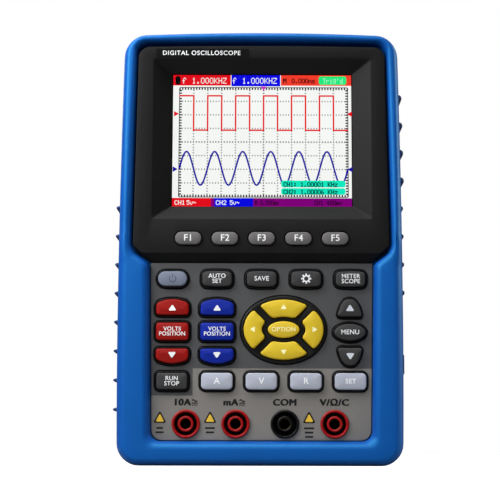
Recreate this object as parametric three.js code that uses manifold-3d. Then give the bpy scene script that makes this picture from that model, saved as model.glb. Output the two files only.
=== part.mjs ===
// Handheld digital oscilloscope with multimeter jacks.
// Millimetres. +Z runs up the case, the screen faces -Y and +X is to the right of a person facing it.
// The origin is under the middle of the case, on the surface that it stands on.
import * as THREE from 'three';
import { mergeVertices } from 'three/addons/utils/BufferGeometryUtils.js';
import Module from 'manifold-3d';

const wasm = await Module();
wasm.setup();

// ---- Driving dimensions -------------------------------------------------------------------------

const CLEAR = 0.3; // gap between neighbouring pieces

// Case: outline at the parting plane, and how far it draws in towards the front
const CASE = {
  halfWidth: 58.5, // at the widest height
  widestZ: 62, // height of the widest place
  sideBulgeTop: 1.3, // how much narrower the case is at its top
  sideBulgeFoot: 0.6, // and at its foot
  height: 179.5,
  topArch: 1.6, // rise of the top edge over its corners
  cornerR: 9.5,
  frontY: -19.6,
  partingY: 6,
  backY: 20,
  wall: 2.2,
};

// The display and the keys sit a little to the right of the case's middle
const FRONT_X = 0.5;

const BEZEL = {
  x: 0.3, // its middle
  halfWidthTop: 50.7,
  halfWidthFoot: 52.1,
  topZ: 171.6,
  topBow: 0.5, // rise of its top edge over the corners
  footZ: 81.7,
  footSlope: 3.4, // the lower edge leans back by this much
  cornerR: 4.6,
  frontY: -18.5,
  backY: -13.3,
};
const SCREEN = { width: 74.4, lowZ: 105.3, highZ: 160.6 };
const FUNNEL = { side: 7.3, low: 5.8, high: 5.1 };
const WINDOW = { frontY: -13, thick: 1, width: 81, lowZ: 101, highZ: 164.5 };
const LCD = { width: 86, lowZ: 98.6, highZ: 167, frontY: -11.7, thick: 5.5, flangeDrop: 1.4 };

const PANEL = {
  halfWidthTop: 45.1,
  halfWidthFoot: 43.9,
  footZ: 10,
  topZ: 81.4,
  topCornerR: 0.4,
  cornerR: 4.1,
  frontY: -15,
  backY: -13,
};
// Below the bezel the case steps in to the panel along a slanted shoulder
const SHOULDER = { lowZ: 80.9, lowR: 3.5, highZ: 86.4, highR: 6 };
const RECESS_GAP = { side: 0.5, top: 1.4 }; // groove between the case and the bezel
const RECESS_FLARE = 1.7; // how much wider the recess is at the case's front face

const LEDGE = { frontY: -12.7, backY: -10.8, halfWidth: 44.1, lowZ: 10.9, highZ: 168.6 };

// Keys: each travels 0.8 into the case
const KEY_BACK_Y = -13.8;
const KEY_TOP_Y = -17.2;
const F_KEY_TOP_Y = -19.7;
const KEY_EDGE = 0.45; // rounding of a key's top edge
const COLLAR = { width: 0.9, frontY: -15.7 };
const MAT = { frontY: -12.7, backY: -11.5, lowX: -42.8, highX: 43.8, lowZ: 28.5, highZ: 96.5 };

const BOARD_THICK = 1.6;
const KEY_BOARD = { frontY: -11.2, lowX: -42.6, highX: 43.6, lowZ: 26.5, highZ: 96.5 };
const MAIN_BOARD = { frontY: -1, lowX: -40.5, highX: 46, lowZ: 27, highZ: 163 };

const JACK = {
  z: 16.54,
  xs: [-29.7, -9.8, 9.9, 29.8],
  names: ['10a', 'ma', 'com', 'volt'],
  flangeR: 5.75,
  bodyR: 5.2,
  grooveOuterR: 4.15,
  grooveInnerR: 3.25,
  grooveDepth: 9,
  mouthR: 2.15,
  boreR: 2.75,
  frontY: -16.1,
  lipDepth: 1.5,
  backY: 7,
};
const CONTACT = { outerR: 2.45, innerR: 2.0, frontY: -14.3, backY: 6, pinR: 0.9, pinLength: 2.5 };

// Back of the case: tilt stand over the battery door
const STAND = {
  halfWidth: 30.2,
  lowZ: 22,
  hingeZ: 120.5,
  hingeY: 18.3,
  thick: 2.6,
  pinR: 1.0,
  pinLength: 2.4,
};
const STAND_RECESS = { halfWidth: 30.6, lowZ: 21.6, highZ: 122.4, floorY: 16.7, skin: 2 };
const FINGER_NOTCH = { halfWidth: 10, lowZ: 13.5, floorY: 14.2 };
const DOOR = { halfWidth: 26, lowZ: 25, highZ: 105, thick: 1.8, screwZ: 30, bossR: 4.2 };
const BAY = { halfWidth: 25, lowZ: 35, highZ: 104, floorY: 5.4, wall: 1.6 }; // battery bay
const BATTERY = { halfWidth: 24.5, lowZ: 35.6, highZ: 103.4, frontY: 5.8, backY: 14.3, edge: 1.5 };

// Input bay on the left side, with the two coaxial sockets
const INPUT_BAY = { lowZ: 111, highZ: 163, wallX: -45, floorY: -6, backY: 17.4, wall: 1.8, sideWall: 1.6 };
const BAY_TONGUE_X = -53.9; // the front half's walls pass into the rear half from here inwards
const BNC = {
  zs: [124.5, 149.5],
  y: 5.7,
  flangeR: 6.6,
  flangeThick: 2.2,
  barrelR: 4.8,
  barrelInnerR: 4.15,
  cavityDepth: 6.5,
  coreR: 2.3,
  tailR: 4.1,
  tailHoleR: 4.4,
  lugR: 1,
  mouthX: -57.3,
  tailX: -36.5,
};

// Right side: socket behind a rubber flap
const FLAP = { lowZ: 30, highZ: 52, lowY: -6.5, highY: 4.4, thick: 1.7, hingeR: 0.85 };
const USB = { z: 41, y: -1, width: 9, height: 4.4, depth: 9, shell: 0.5 };

// Ribbed rubber grips
const RIB = { lowY: -12.5, highY: 2.5 };
const GRIP = { inlay: 1.1, lowY: -12.8, highY: 2.8, margin: 3.5, seat: 0.15 };
// The left grip starts below the input bay. The right one has larger ribs along its upper half.
const LEFT_GRIP = { side: -1, topZ: 104.6, pitch: 11.76, sizes: Array(8).fill({ height: 1.6, proud: 1.4 }) };
const RIGHT_GRIP = {
  side: 1,
  topZ: 151.1,
  pitch: 11.62,
  sizes: [
    ...Array(4).fill({ height: 3.2, proud: 1.5 }),
    ...Array(4).fill({ height: 2, proud: 0.8 }),
  ],
};

const SCREW = { xs: [-50, 50], zs: [9.5, 168.5], headR: 2.9, shaftR: 1.3, headY: 19.3, headThick: 2.2 };
const BOSS = { r: 3.8, holeR: 1.65, frontY: -11.5 };

// ---- Materials ----------------------------------------------------------------------------------

const plastic = (color, roughness = 0.45) =>
  new THREE.MeshStandardMaterial({ color, roughness, metalness: 0 });
const metal = (color, roughness = 0.3) =>
  new THREE.MeshStandardMaterial({ color, roughness, metalness: 1 });

const MATERIAL = {
  caseBlue: plastic(0x1a5ba8, 0.4),
  bezelBlack: plastic(0x2a2a2a, 0.5),
  panelGrey: plastic(0x46484a, 0.6),
  rubberBlack: plastic(0x0c0c0c, 0.75),
  gripGrey: plastic(0x2a3242, 0.8),
  clear: plastic(0xdfe8ee, 0.1),
  screen: plastic(0xf4f6f6, 0.2),
  keyGrey: plastic(0x55565a, 0.6),
  keyPower: plastic(0x8c93a6, 0.5),
  keyRed: plastic(0xb3160f, 0.5),
  keyBlue: plastic(0x1d2f9e, 0.5),
  keyYellow: plastic(0xe0c21e, 0.5),
  keyWhite: plastic(0xb9bcc8, 0.5),
  jackRed: plastic(0xb91d24, 0.4),
  jackBlack: plastic(0x080808, 0.4),
  backGrey: plastic(0x303236, 0.6),
  board: plastic(0x1d5a34, 0.5),
  battery: plastic(0x2f3a4a, 0.5),
  brass: metal(0xc9a24a),
  nickel: metal(0xc8c8c4),
  steel: metal(0x8a8c90),
};

// ---- Solids from three.js geometry --------------------------------------------------------------

function toSolid(geometry) {
  const bare = geometry.clone();
  for (const name of Object.keys(bare.attributes)) {
    if (name !== 'position') bare.deleteAttribute(name);
  }
  const merged = mergeVertices(bare, 1e-4);
  return new wasm.Manifold(new wasm.Mesh({
    numProp: 3,
    vertProperties: new Float32Array(merged.attributes.position.array),
    triVerts: new Uint32Array(merged.index.array),
  }));
}

function toGeometry(solid) {
  const mesh = solid.getMesh();
  const geometry = new THREE.BufferGeometry();
  geometry.setAttribute('position', new THREE.BufferAttribute(new Float32Array(mesh.vertProperties), 3));
  geometry.setIndex(new THREE.BufferAttribute(new Uint32Array(mesh.triVerts), 1));
  return geometry;
}

// A box from its two corners
function block([x0, y0, z0], [x1, y1, z1]) {
  const geometry = new THREE.BoxGeometry(x1 - x0, y1 - y0, z1 - z0);
  geometry.translate((x0 + x1) / 2, (y0 + y1) / 2, (z0 + z1) / 2);
  return toSolid(geometry);
}

// A solid through closed rings of points. Each ring is counter-clockwise as seen from the front, and the
// first is the rearmost.
function loft(rings) {
  const count = rings[0].length;
  const positions = rings.flat().flatMap((p) => [p.x, p.y, p.z]);
  const index = [];
  for (let r = 0; r + 1 < rings.length; r += 1) {
    for (let i = 0; i < count; i += 1) {
      const a = r * count + i;
      const b = r * count + ((i + 1) % count);
      index.push(a, b, b + count, a, b + count, a + count);
    }
  }
  const cap = (ring) => THREE.ShapeUtils.triangulateShape(ring.map((p) => new THREE.Vector2(p.x, p.z)), []);
  for (const [a, b, c] of cap(rings[0])) index.push(a, c, b);
  const last = (rings.length - 1) * count;
  for (const [a, b, c] of cap(rings[rings.length - 1])) index.push(last + a, last + b, last + c);
  const geometry = new THREE.BufferGeometry();
  geometry.setAttribute('position', new THREE.Float32BufferAttribute(positions, 3));
  geometry.setIndex(index);
  return toSolid(geometry);
}

const atDepth = (outline, y) => outline.map((p) => new THREE.Vector3(p.x, y, p.y));

// A straight prism between two depths
const prism = (outline, frontY, backY) => loft([atDepth(outline, backY), atDepth(outline, frontY)]);

// A solid of revolution about an axis along Y (towards the front) or along -X (out of the left side)
function turned(profile, segments, place) {
  const points = profile.map(([r, h]) => new THREE.Vector2(r, h));
  const geometry = new THREE.LatheGeometry([...points, points[0].clone()], segments);
  geometry.applyMatrix4(place);
  return toSolid(geometry);
}

const FACING_FRONT = new THREE.Matrix4().makeRotationX(Math.PI); // a profile's height runs towards -Y
const frontAxis = (x, z) => new THREE.Matrix4().makeTranslation(x, 0, z).multiply(FACING_FRONT);
const sideAxis = (y, z) => new THREE.Matrix4().makeTranslation(0, y, z)
  .multiply(new THREE.Matrix4().makeRotationZ(Math.PI / 2));

// ---- Outlines in the X-Z plane, counter-clockwise from the front --------------------------------

// Corners [x, z, radius] joined by straight lines and rounded by arcs
function rounded(corners, steps = 3) {
  const points = [];
  const count = corners.length;
  corners.forEach(([x, z, radius], i) => {
    const here = new THREE.Vector2(x, z);
    const before = new THREE.Vector2(...corners[(i + count - 1) % count]).sub(here).normalize();
    const after = new THREE.Vector2(...corners[(i + 1) % count]).sub(here).normalize();
    if (!radius) {
      points.push(here);
      return;
    }
    const half = Math.acos(THREE.MathUtils.clamp(before.dot(after), -1, 1)) / 2;
    const reach = radius / Math.tan(half);
    const toCentre = before.clone().add(after).normalize().multiplyScalar(radius / Math.sin(half));
    const centre = here.clone().add(toCentre);
    const start = here.clone().addScaledVector(before, reach).sub(centre);
    const end = here.clone().addScaledVector(after, reach).sub(centre);
    const turn = Math.atan2(start.cross(end), start.dot(end));
    for (let k = 0; k <= steps; k += 1) {
      points.push(start.clone().rotateAround(new THREE.Vector2(), (turn * k) / steps).add(centre));
    }
  });
  return points;
}

const moved = (outline, x, z) => outline.map((p) => new THREE.Vector2(p.x + x, p.y + z));

function ellipse(halfX, halfZ, count) {
  return Array.from({ length: count }, (_, i) => {
    const angle = (i / count) * 2 * Math.PI;
    return new THREE.Vector2(halfX * Math.cos(angle), halfZ * Math.sin(angle));
  });
}

// A rectangle with round corners
const panelShape = (width, height, radius, steps = 3) => rounded([
  [-width / 2, -height / 2, radius],
  [width / 2, -height / 2, radius],
  [width / 2, height / 2, radius],
  [-width / 2, height / 2, radius],
], steps);

// A rectangle whose upper and lower edges bow outwards
function bowedShape(width, height, radius, bowHigh, bowLow = bowHigh) {
  const w = width / 2;
  const h = height / 2;
  return rounded([
    [-w, -h + bowLow, radius],
    [0, -h, bowLow ? width : 0],
    [w, -h + bowLow, radius],
    [w, h - bowHigh, radius],
    [0, h, bowHigh ? width : 0],
    [-w, h - bowHigh, radius],
  ].filter(([x, , r]) => x !== 0 || r > 0), 2);
}

// The case's outline, drawn in by amounts at its sides, its foot and its top
function caseOutline(sideInset, footInset, topInset) {
  const { halfWidth, widestZ, height, sideBulgeTop, sideBulgeFoot, topArch, cornerR } = CASE;
  const top = height - topInset;
  const edge = halfWidth - sideInset;
  const corner = cornerR - Math.min(sideInset, cornerR / 2);
  const right = [
    [edge - sideBulgeFoot, footInset, corner],
    [edge, widestZ, 2000],
    [edge - sideBulgeTop, top - topArch, corner],
  ];
  const left = right.map(([x, z, r]) => [-x, z, r]).reverse();
  return rounded([...right, [0, top, 800], ...left]);
}

// The opening in the case's front, which follows the bezel and the panel
function recessOutline(grow) {
  const beside = RECESS_GAP.side + grow;
  const below = CLEAR + grow;
  const above = RECESS_GAP.top + grow;
  const corners = (side) => [
    [FRONT_X + side * (PANEL.halfWidthFoot + below), PANEL.footZ - below, PANEL.cornerR],
    [FRONT_X + side * (PANEL.halfWidthTop + below), SHOULDER.lowZ - grow / 2, SHOULDER.lowR],
    [BEZEL.x + side * (BEZEL.halfWidthFoot + beside), SHOULDER.highZ - grow / 2, SHOULDER.highR],
    [BEZEL.x + side * (BEZEL.halfWidthTop + beside), BEZEL.topZ - BEZEL.topBow + above, BEZEL.cornerR],
  ];
  return rounded([...corners(1), ...corners(-1).reverse()]);
}

// ---- Case ---------------------------------------------------------------------------------------

const caseRing = (y, side, foot, top) => atDepth(caseOutline(side, foot, top), y);

// Outline rings from the parting plane to the front face, drawn in by a further amount
const frontRings = (inset) => [
  [CASE.partingY, 0, 0, 0],
  [-14.6, 0.7, 0, 1.5],
  [-17.4, 1.2, 0.4, 2],
  [-18.9, 2.4, 1.1, 2.9],
  [CASE.frontY, 4.4, 2.4, 4.4],
].map(([y, side, foot, top]) => caseRing(y, side + inset, foot + inset, top + inset));

const rearRings = () => [
  [CASE.backY, 3.2, 2.2, 3.2],
  [CASE.backY - 0.9, 1.5, 0.9, 1.5],
  [CASE.backY - 3, 0.6, 0, 0.6],
  [CASE.partingY + CLEAR, 0, 0, 0],
].map((ring) => caseRing(...ring));

const screwPlaces = SCREW.zs.flatMap((z) => SCREW.xs.map((x) => [x, z]));

// A round bar along the depth
function bar(x, z, radius, frontY, backY, segments = 10) {
  return prism(moved(ellipse(radius, radius, segments), x, z), frontY, backY);
}

const OUTSIDE = 70; // cuts through a side wall start this far from the middle

// The space cut out of both shells for the input bay, behind the side wall's opening
const bayVoid = () => block(
  [-OUTSIDE, INPUT_BAY.floorY, INPUT_BAY.lowZ],
  [INPUT_BAY.wallX, INPUT_BAY.backY + 5, INPUT_BAY.highZ],
);

// A grip's space in the side wall
function gripInlay({ side, topZ, pitch, sizes }, gap) {
  const lowZ = topZ - pitch * (sizes.length - 1) - GRIP.margin - gap;
  const highZ = topZ + GRIP.margin + gap;
  const inner = CASE.halfWidth - CASE.sideBulgeTop - GRIP.inlay - 0.9 - gap;
  const edges = [side * inner, side * OUTSIDE].sort((a, b) => a - b);
  return block([edges[0], GRIP.lowY - gap, lowZ], [edges[1], GRIP.highY + gap, highZ]);
}

function frontShell() {
  const { wall } = CASE;
  const cavity = loft([
    caseRing(CASE.partingY + 1, wall, wall, wall),
    caseRing(LEDGE.backY, wall + 0.7, wall, wall + 1.4),
  ]);
  const recess = loft([
    atDepth(recessOutline(0), LEDGE.frontY),
    atDepth(recessOutline(0), PANEL.frontY),
    atDepth(recessOutline(RECESS_FLARE), CASE.frontY - 0.2),
  ]);
  const ledgeHole = block(
    [FRONT_X - LEDGE.halfWidth, CASE.frontY - 1, LEDGE.lowZ],
    [FRONT_X + LEDGE.halfWidth, LEDGE.backY + 1, LEDGE.highZ],
  );
  let shell = loft(frontRings(0)).subtract(cavity);
  for (const [x, z] of screwPlaces) {
    shell = shell.add(bar(x, z, BOSS.r, BOSS.frontY, CASE.partingY - CLEAR));
  }
  const bayBox = block(
    [INPUT_BAY.sideWall - CASE.halfWidth, INPUT_BAY.floorY - INPUT_BAY.wall, INPUT_BAY.lowZ - INPUT_BAY.wall],
    [INPUT_BAY.wallX + INPUT_BAY.wall, CASE.partingY, INPUT_BAY.highZ + INPUT_BAY.wall],
  );
  const bayTongue = block(
    [BAY_TONGUE_X, CASE.partingY - 0.5, INPUT_BAY.lowZ - INPUT_BAY.wall],
    [INPUT_BAY.wallX + INPUT_BAY.wall, INPUT_BAY.backY, INPUT_BAY.highZ + INPUT_BAY.wall],
  );
  shell = shell.add(bayBox).add(bayTongue).subtract(bayVoid());
  const tailHole = [[0, 40], [BNC.tailHoleR, 40], [BNC.tailHoleR, 50], [0, 50]];
  for (const z of BNC.zs) {
    shell = shell.subtract(turned(tailHole, 12, sideAxis(BNC.y, z)));
  }
  shell = shell.subtract(recess).subtract(ledgeHole);
  for (const [x, z] of screwPlaces) {
    shell = shell.subtract(bar(x, z, BOSS.holeR, BOSS.frontY + 6, CASE.partingY + 1));
  }
  shell = shell.subtract(gripInlay(LEFT_GRIP, CLEAR)).subtract(gripInlay(RIGHT_GRIP, CLEAR));
  const socketBlock = block(
    [CASE.halfWidth - USB.depth - 3, FLAP.lowY - 1.6, FLAP.lowZ - 1.6],
    [CASE.halfWidth - 1.2, FLAP.highY + 1.2, FLAP.highZ + 1.6],
  );
  const flapSeat = block(
    [CASE.halfWidth - FLAP.thick - 0.7, FLAP.lowY - CLEAR, FLAP.lowZ - CLEAR],
    [CASE.halfWidth + 3, FLAP.highY + CLEAR, FLAP.highZ + CLEAR],
  );
  const socketSeat = block(
    [CASE.halfWidth - USB.depth - 5, USB.y - USB.height / 2 - CLEAR, USB.z - USB.width / 2 - CLEAR],
    [CASE.halfWidth + 3, USB.y + USB.height / 2 + CLEAR, USB.z + USB.width / 2 + CLEAR],
  );
  return shell.add(socketBlock).subtract(flapSeat).subtract(socketSeat);
}

// A rod along the stand's hinge line
const hingeRod = (reach, radius) => turned(
  [[0, -reach], [radius, -reach], [radius, reach], [0, reach]],
  12,
  sideAxis(STAND.hingeY, STAND.hingeZ),
);

function rearShell() {
  const { wall } = CASE;
  const cavity = loft([
    caseRing(CASE.backY - wall, wall + 1, wall, wall + 1),
    caseRing(CASE.partingY - 1, wall, wall, wall),
  ]);
  const { halfWidth, lowZ, highZ, floorY, skin } = STAND_RECESS;
  let shell = loft(rearRings()).subtract(cavity);
  const tub = block(
    [-halfWidth - 3.2, floorY - skin, FINGER_NOTCH.lowZ - 2],
    [halfWidth + 3.2, CASE.backY - 1, highZ + 2],
  );
  const notchTub = block(
    [-FINGER_NOTCH.halfWidth - 2, FINGER_NOTCH.floorY - 1.6, FINGER_NOTCH.lowZ - 2],
    [FINGER_NOTCH.halfWidth + 2, CASE.backY - 1, lowZ + 4],
  );
  const bayBox = block(
    [-BAY.halfWidth - BAY.wall, BAY.floorY - 1.2, BAY.lowZ - BAY.wall],
    [BAY.halfWidth + BAY.wall, floorY - 1, BAY.highZ + BAY.wall],
  );
  shell = shell.add(tub).add(notchTub).add(bayBox);
  shell = shell.add(bar(0, DOOR.screwZ, DOOR.bossR, BAY.floorY + 1, floorY - 1));
  for (const [x, z] of screwPlaces) {
    shell = shell.add(bar(x, z, BOSS.r + 0.6, CASE.partingY + CLEAR, CASE.backY - 1));
  }
  shell = shell.subtract(block([-halfWidth, floorY, lowZ], [halfWidth, CASE.backY + 1, highZ]));
  shell = shell.subtract(block(
    [-FINGER_NOTCH.halfWidth, FINGER_NOTCH.floorY, FINGER_NOTCH.lowZ],
    [FINGER_NOTCH.halfWidth, CASE.backY + 1, lowZ + 2],
  ));
  shell = shell.subtract(block(
    [-DOOR.halfWidth - CLEAR, floorY - DOOR.thick - 0.4, DOOR.lowZ - CLEAR],
    [DOOR.halfWidth + CLEAR, floorY + 1, DOOR.highZ + CLEAR],
  ));
  shell = shell.subtract(block(
    [-BAY.halfWidth, BAY.floorY, BAY.lowZ],
    [BAY.halfWidth, floorY + 1, BAY.highZ],
  ));
  shell = shell.subtract(bar(0, DOOR.screwZ, BOSS.holeR, BAY.floorY + 3, floorY + 1));
  shell = shell.subtract(hingeRod(STAND.halfWidth + STAND.pinLength + 1.4, STAND.pinR + CLEAR));
  const headSeatY = SCREW.headY - SCREW.headThick - CLEAR;
  for (const [x, z] of screwPlaces) {
    shell = shell.subtract(bar(x, z, BOSS.holeR, CASE.partingY - 1, CASE.backY + 1));
    shell = shell.subtract(bar(x, z, SCREW.headR + CLEAR, headSeatY, CASE.backY + 1));
  }
  const bayGap = INPUT_BAY.wall + CLEAR;
  const bayTongueSpace = block(
    [BAY_TONGUE_X - 0.4, CASE.partingY - 1, INPUT_BAY.lowZ - bayGap],
    [INPUT_BAY.wallX + bayGap, CASE.backY - wall, INPUT_BAY.highZ + bayGap],
  );
  const bayMouth = block(
    [-OUTSIDE, CASE.partingY - 1, INPUT_BAY.lowZ],
    [BAY_TONGUE_X + 3.4, CASE.backY - wall, INPUT_BAY.highZ],
  );
  return shell.subtract(bayTongueSpace).subtract(bayMouth);
}

// ---- Front pieces -------------------------------------------------------------------------------

// The bezel's outline. Its lower corners are cut off by an amount across and an amount up.
function bezelOutline(footZ, inset, cut) {
  const right = [
    [BEZEL.halfWidthFoot - inset - cut.across, footZ + inset, SHOULDER.lowR],
    [BEZEL.halfWidthFoot - inset, footZ + inset + cut.up, cut.across * 0.8],
    [BEZEL.halfWidthTop - inset, BEZEL.topZ - BEZEL.topBow - inset, BEZEL.cornerR],
  ];
  const left = right.map(([x, z, r]) => [-x, z, r]).reverse();
  return moved(rounded([...right, [0, BEZEL.topZ - inset, 1000], ...left]), BEZEL.x, 0);
}

const screenOutline = (grow) => [
  [-SCREEN.width / 2 - grow * FUNNEL.side, SCREEN.lowZ - grow * FUNNEL.low],
  [SCREEN.width / 2 + grow * FUNNEL.side, SCREEN.lowZ - grow * FUNNEL.low],
  [SCREEN.width / 2 + grow * FUNNEL.side, SCREEN.highZ + grow * FUNNEL.high],
  [-SCREEN.width / 2 - grow * FUNNEL.side, SCREEN.highZ + grow * FUNNEL.high],
].map(([x, z]) => new THREE.Vector2(x + FRONT_X, z));

function displayBezel(fKeys) {
  const faceFootZ = BEZEL.footZ + BEZEL.footSlope;
  const lowCut = { across: 7, up: 5.3 };
  const faceCut = { across: 3.8, up: 3.4 };
  const body = loft([
    atDepth(bezelOutline(BEZEL.footZ, 0, lowCut), BEZEL.backY),
    atDepth(bezelOutline(BEZEL.footZ, 0, lowCut), PANEL.frontY),
    atDepth(bezelOutline(faceFootZ - 0.3, 0, faceCut), BEZEL.frontY + 0.3),
    atDepth(bezelOutline(faceFootZ, 0.4, faceCut), BEZEL.frontY),
  ]);
  const funnel = loft([
    atDepth(screenOutline(0), BEZEL.backY + 1),
    atDepth(screenOutline(0), BEZEL.backY),
    atDepth(screenOutline(1), BEZEL.frontY),
    atDepth(screenOutline(1), BEZEL.frontY - 1),
  ]);
  return fKeys.reduce(
    (solid, key) => solid.subtract(prism(key.grown(CLEAR), BEZEL.frontY - 1, BEZEL.backY + 1)),
    body.subtract(funnel),
  );
}

function controlPanel(keys) {
  const right = [
    [PANEL.halfWidthFoot, PANEL.footZ, PANEL.cornerR],
    [PANEL.halfWidthTop, PANEL.topZ, PANEL.topCornerR],
  ];
  const left = right.map(([x, z, r]) => [-x, z, r]).reverse();
  let panel = prism(moved(rounded([...right, ...left]), FRONT_X, 0), PANEL.frontY, PANEL.backY);
  for (const opening of collarOutlines(keys, COLLAR.width + CLEAR)) {
    panel = panel.subtract(prism(opening, PANEL.frontY - 1, PANEL.backY + 1));
  }
  for (const x of JACK.xs) {
    panel = panel.subtract(bar(x, JACK.z, JACK.bodyR + CLEAR, PANEL.frontY - 1, PANEL.backY + 1, 16));
  }
  return panel;
}

function keypadMat(keys) {
  let mat = block([MAT.lowX, MAT.frontY, MAT.lowZ], [MAT.highX, MAT.backY, MAT.highZ]);
  for (const outline of collarOutlines(keys, COLLAR.width)) {
    mat = mat.add(prism(outline, COLLAR.frontY, MAT.backY - 0.4));
  }
  for (const key of keys) {
    mat = mat.subtract(prism(key.grown(CLEAR), COLLAR.frontY - 1, MAT.frontY));
  }
  return mat;
}

// ---- Keys ---------------------------------------------------------------------------------------

// A key has its outline about its own centre, and a way to draw it larger or smaller
function makeKey(name, x, z, draw, material, topY = KEY_TOP_Y, pad = false) {
  return {
    name,
    material,
    topY,
    pad,
    grown: (amount) => moved(draw(amount), x, z),
  };
}

const pill = (width, height) => (grow) =>
  panelShape(width + 2 * grow, height + 2 * grow, height / 2 + grow - 0.02);
const bowed = (width, height, radius, high, low) => (grow) =>
  bowedShape(width + 2 * grow, height + 2 * grow, radius + grow, high, low);
const oval = (width, height, count = 18) => (grow) =>
  ellipse(width / 2 + grow, height / 2 + grow, count);

// A dome that narrows upwards (up = 1) or downwards (up = -1)
const dome = (width, height, up) => (grow) => {
  const w = width / 2 + grow;
  const h = height / 2 + grow;
  const corners = [
    [-w, -h, 0.9 + grow],
    [0, -h + 0.5, 12],
    [w, -h, 0.9 + grow],
    [w * 0.62, h * 0.62, 3.4 + grow],
    [0, h + 0.1, 3 + grow],
    [-w * 0.62, h * 0.62, 3.4 + grow],
  ];
  if (up > 0) return rounded(corners, 2);
  return rounded(corners.map(([x, z, r]) => [x, -z, r]).reverse(), 2);
};

// One quarter of the arrow ring: between two ovals and two diagonal gaps
const RING = { outerX: 16.1, outerZ: 12.1, innerX: 8.8, innerZ: 5.2, gap: 3.0, crossX: 2.1 };

function ringQuarter(direction) {
  const { outerX, outerZ, innerX, innerZ, gap, crossX } = RING;
  return (grow) => {
    const onOval = (halfX, halfZ, angle) =>
      new THREE.Vector2(halfX * Math.cos(angle), halfZ * Math.sin(angle));
    // where an oval meets the diagonal line z = x - crossX + shift
    const crossing = (halfX, halfZ, shift) => {
      let low = 0;
      let high = Math.PI / 2;
      for (let i = 0; i < 40; i += 1) {
        const middle = (low + high) / 2;
        const p = onOval(halfX, halfZ, middle);
        if (p.y - p.x + crossX > shift) high = middle;
        else low = middle;
      }
      return low;
    };
    const shift = (gap / 2 - grow) * Math.SQRT2;
    const outer = [outerX + grow, outerZ + grow];
    const inner = [innerX - grow, innerZ - grow];
    const arc = (radii, from, to, count) => Array.from({ length: count + 1 }, (_, i) =>
      onOval(...radii, from + ((to - from) * i) / count));
    const sideways = direction === 'left' || direction === 'right';
    const sign = direction === 'up' || direction === 'right' ? 1 : -1;
    const limit = (radii) => crossing(...radii, sideways ? -shift : shift);
    const outerLimit = limit(outer);
    const innerLimit = limit(inner);
    const points = sideways
      ? [...arc(outer, -outerLimit, outerLimit, 6), ...arc(inner, innerLimit, -innerLimit, 4)]
      : [...arc(outer, outerLimit, Math.PI - outerLimit, 6),
        ...arc(inner, Math.PI - innerLimit, innerLimit, 4)];
    return points.map((p) => p.multiplyScalar(sign));
  };
}

const PAD_CENTRE = [9.4, 54.25];
const PAD_OVAL = { halfX: 17.4, halfZ: 13.8 };

function allKeys() {
  const row = (i, pitch) => FRONT_X + (i - 2) * pitch;
  const grey = MATERIAL.keyGrey;
  const fKeys = [0, 1, 2, 3, 4].map((i) =>
    makeKey(`key_f${i + 1}`, row(i, 14.87), 91, pill(10.7, 5.1), grey, F_KEY_TOP_Y));
  const topRow = ['power', 'auto', 'save', 'backlight', 'mode'].map((name, i) =>
    makeKey(`key_${name}`, row(i, 18), 74.8, i ? bowed(12, 6.4, 1.5, 0.4, 0.4) : pill(11.8, 6),
      i ? grey : MATERIAL.keyPower));
  const channel = (name, x, width, material) => [
    makeKey(`key_${name}_up`, x, 63.5, bowed(width, 6.8, 1.2, 1.7, 0), material),
    makeKey(`key_${name}_volts`, x, 53.4, panelShapeKey(width, 7), material),
    makeKey(`key_${name}_down`, x, 43.3, bowed(width, 6.4, 1.2, 0, 1.7), material),
  ];
  const meter = ['amps', 'volts', 'ohms', 'auto_range'].map((name, i) =>
    makeKey(`key_${name}`, row(i + 1, 17.85), 33.5, panelShapeKey(12.6, 6.6, 1.7), MATERIAL.keyWhite));
  const menuX = 36.1;
  const column = [
    makeKey('key_menu_up', menuX, 63.1, dome(11.4, 7.3, 1), grey),
    makeKey('key_menu', menuX, 53.2, oval(12.6, 6.8), grey),
    makeKey('key_menu_down', menuX, 43.4, dome(11.4, 7.3, -1), grey),
  ];
  const arrows = ['up', 'left', 'down', 'right'].map((name) =>
    makeKey(`key_arrow_${name}`, ...PAD_CENTRE, ringQuarter(name), MATERIAL.keyYellow, KEY_TOP_Y, true));
  return [
    ...fKeys,
    ...topRow,
    ...channel('ch1', -35.4, 13.1, MATERIAL.keyRed),
    ...channel('ch2', -17.4, 13.4, MATERIAL.keyBlue),
    ...arrows,
    makeKey('key_ok', ...PAD_CENTRE, oval(12.7, 6.8), MATERIAL.keyYellow, KEY_TOP_Y, true),
    ...column,
    makeKey('key_run_stop', -35.4, 33.5, panelShapeKey(12.4, 6.6), grey),
    ...meter,
  ];
}

function panelShapeKey(width, height, radius = 1.3) {
  return (grow) => panelShape(width + 2 * grow, height + 2 * grow, radius + grow, 2);
}

// The mat's collars: one round each key, and one oval round the whole arrow pad
function collarOutlines(keys, width) {
  const single = keys.filter((key) => !key.pad).map((key) => key.grown(width));
  const rim = width - COLLAR.width;
  const padOval = moved(ellipse(PAD_OVAL.halfX + rim, PAD_OVAL.halfZ + rim, 28), ...PAD_CENTRE);
  return [...single, padOval];
}

function keySolid(key) {
  return loft([
    atDepth(key.grown(0), KEY_BACK_Y),
    atDepth(key.grown(0), key.topY + KEY_EDGE),
    atDepth(key.grown(-KEY_EDGE), key.topY),
  ]);
}

// ---- Screen, boards and battery -----------------------------------------------------------------

function displayWindow() {
  const centreZ = (WINDOW.lowZ + WINDOW.highZ) / 2;
  const outline = moved(panelShape(WINDOW.width, WINDOW.highZ - WINDOW.lowZ, 1.5), FRONT_X, centreZ);
  return prism(outline, WINDOW.frontY, WINDOW.frontY + WINDOW.thick);
}

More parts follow.
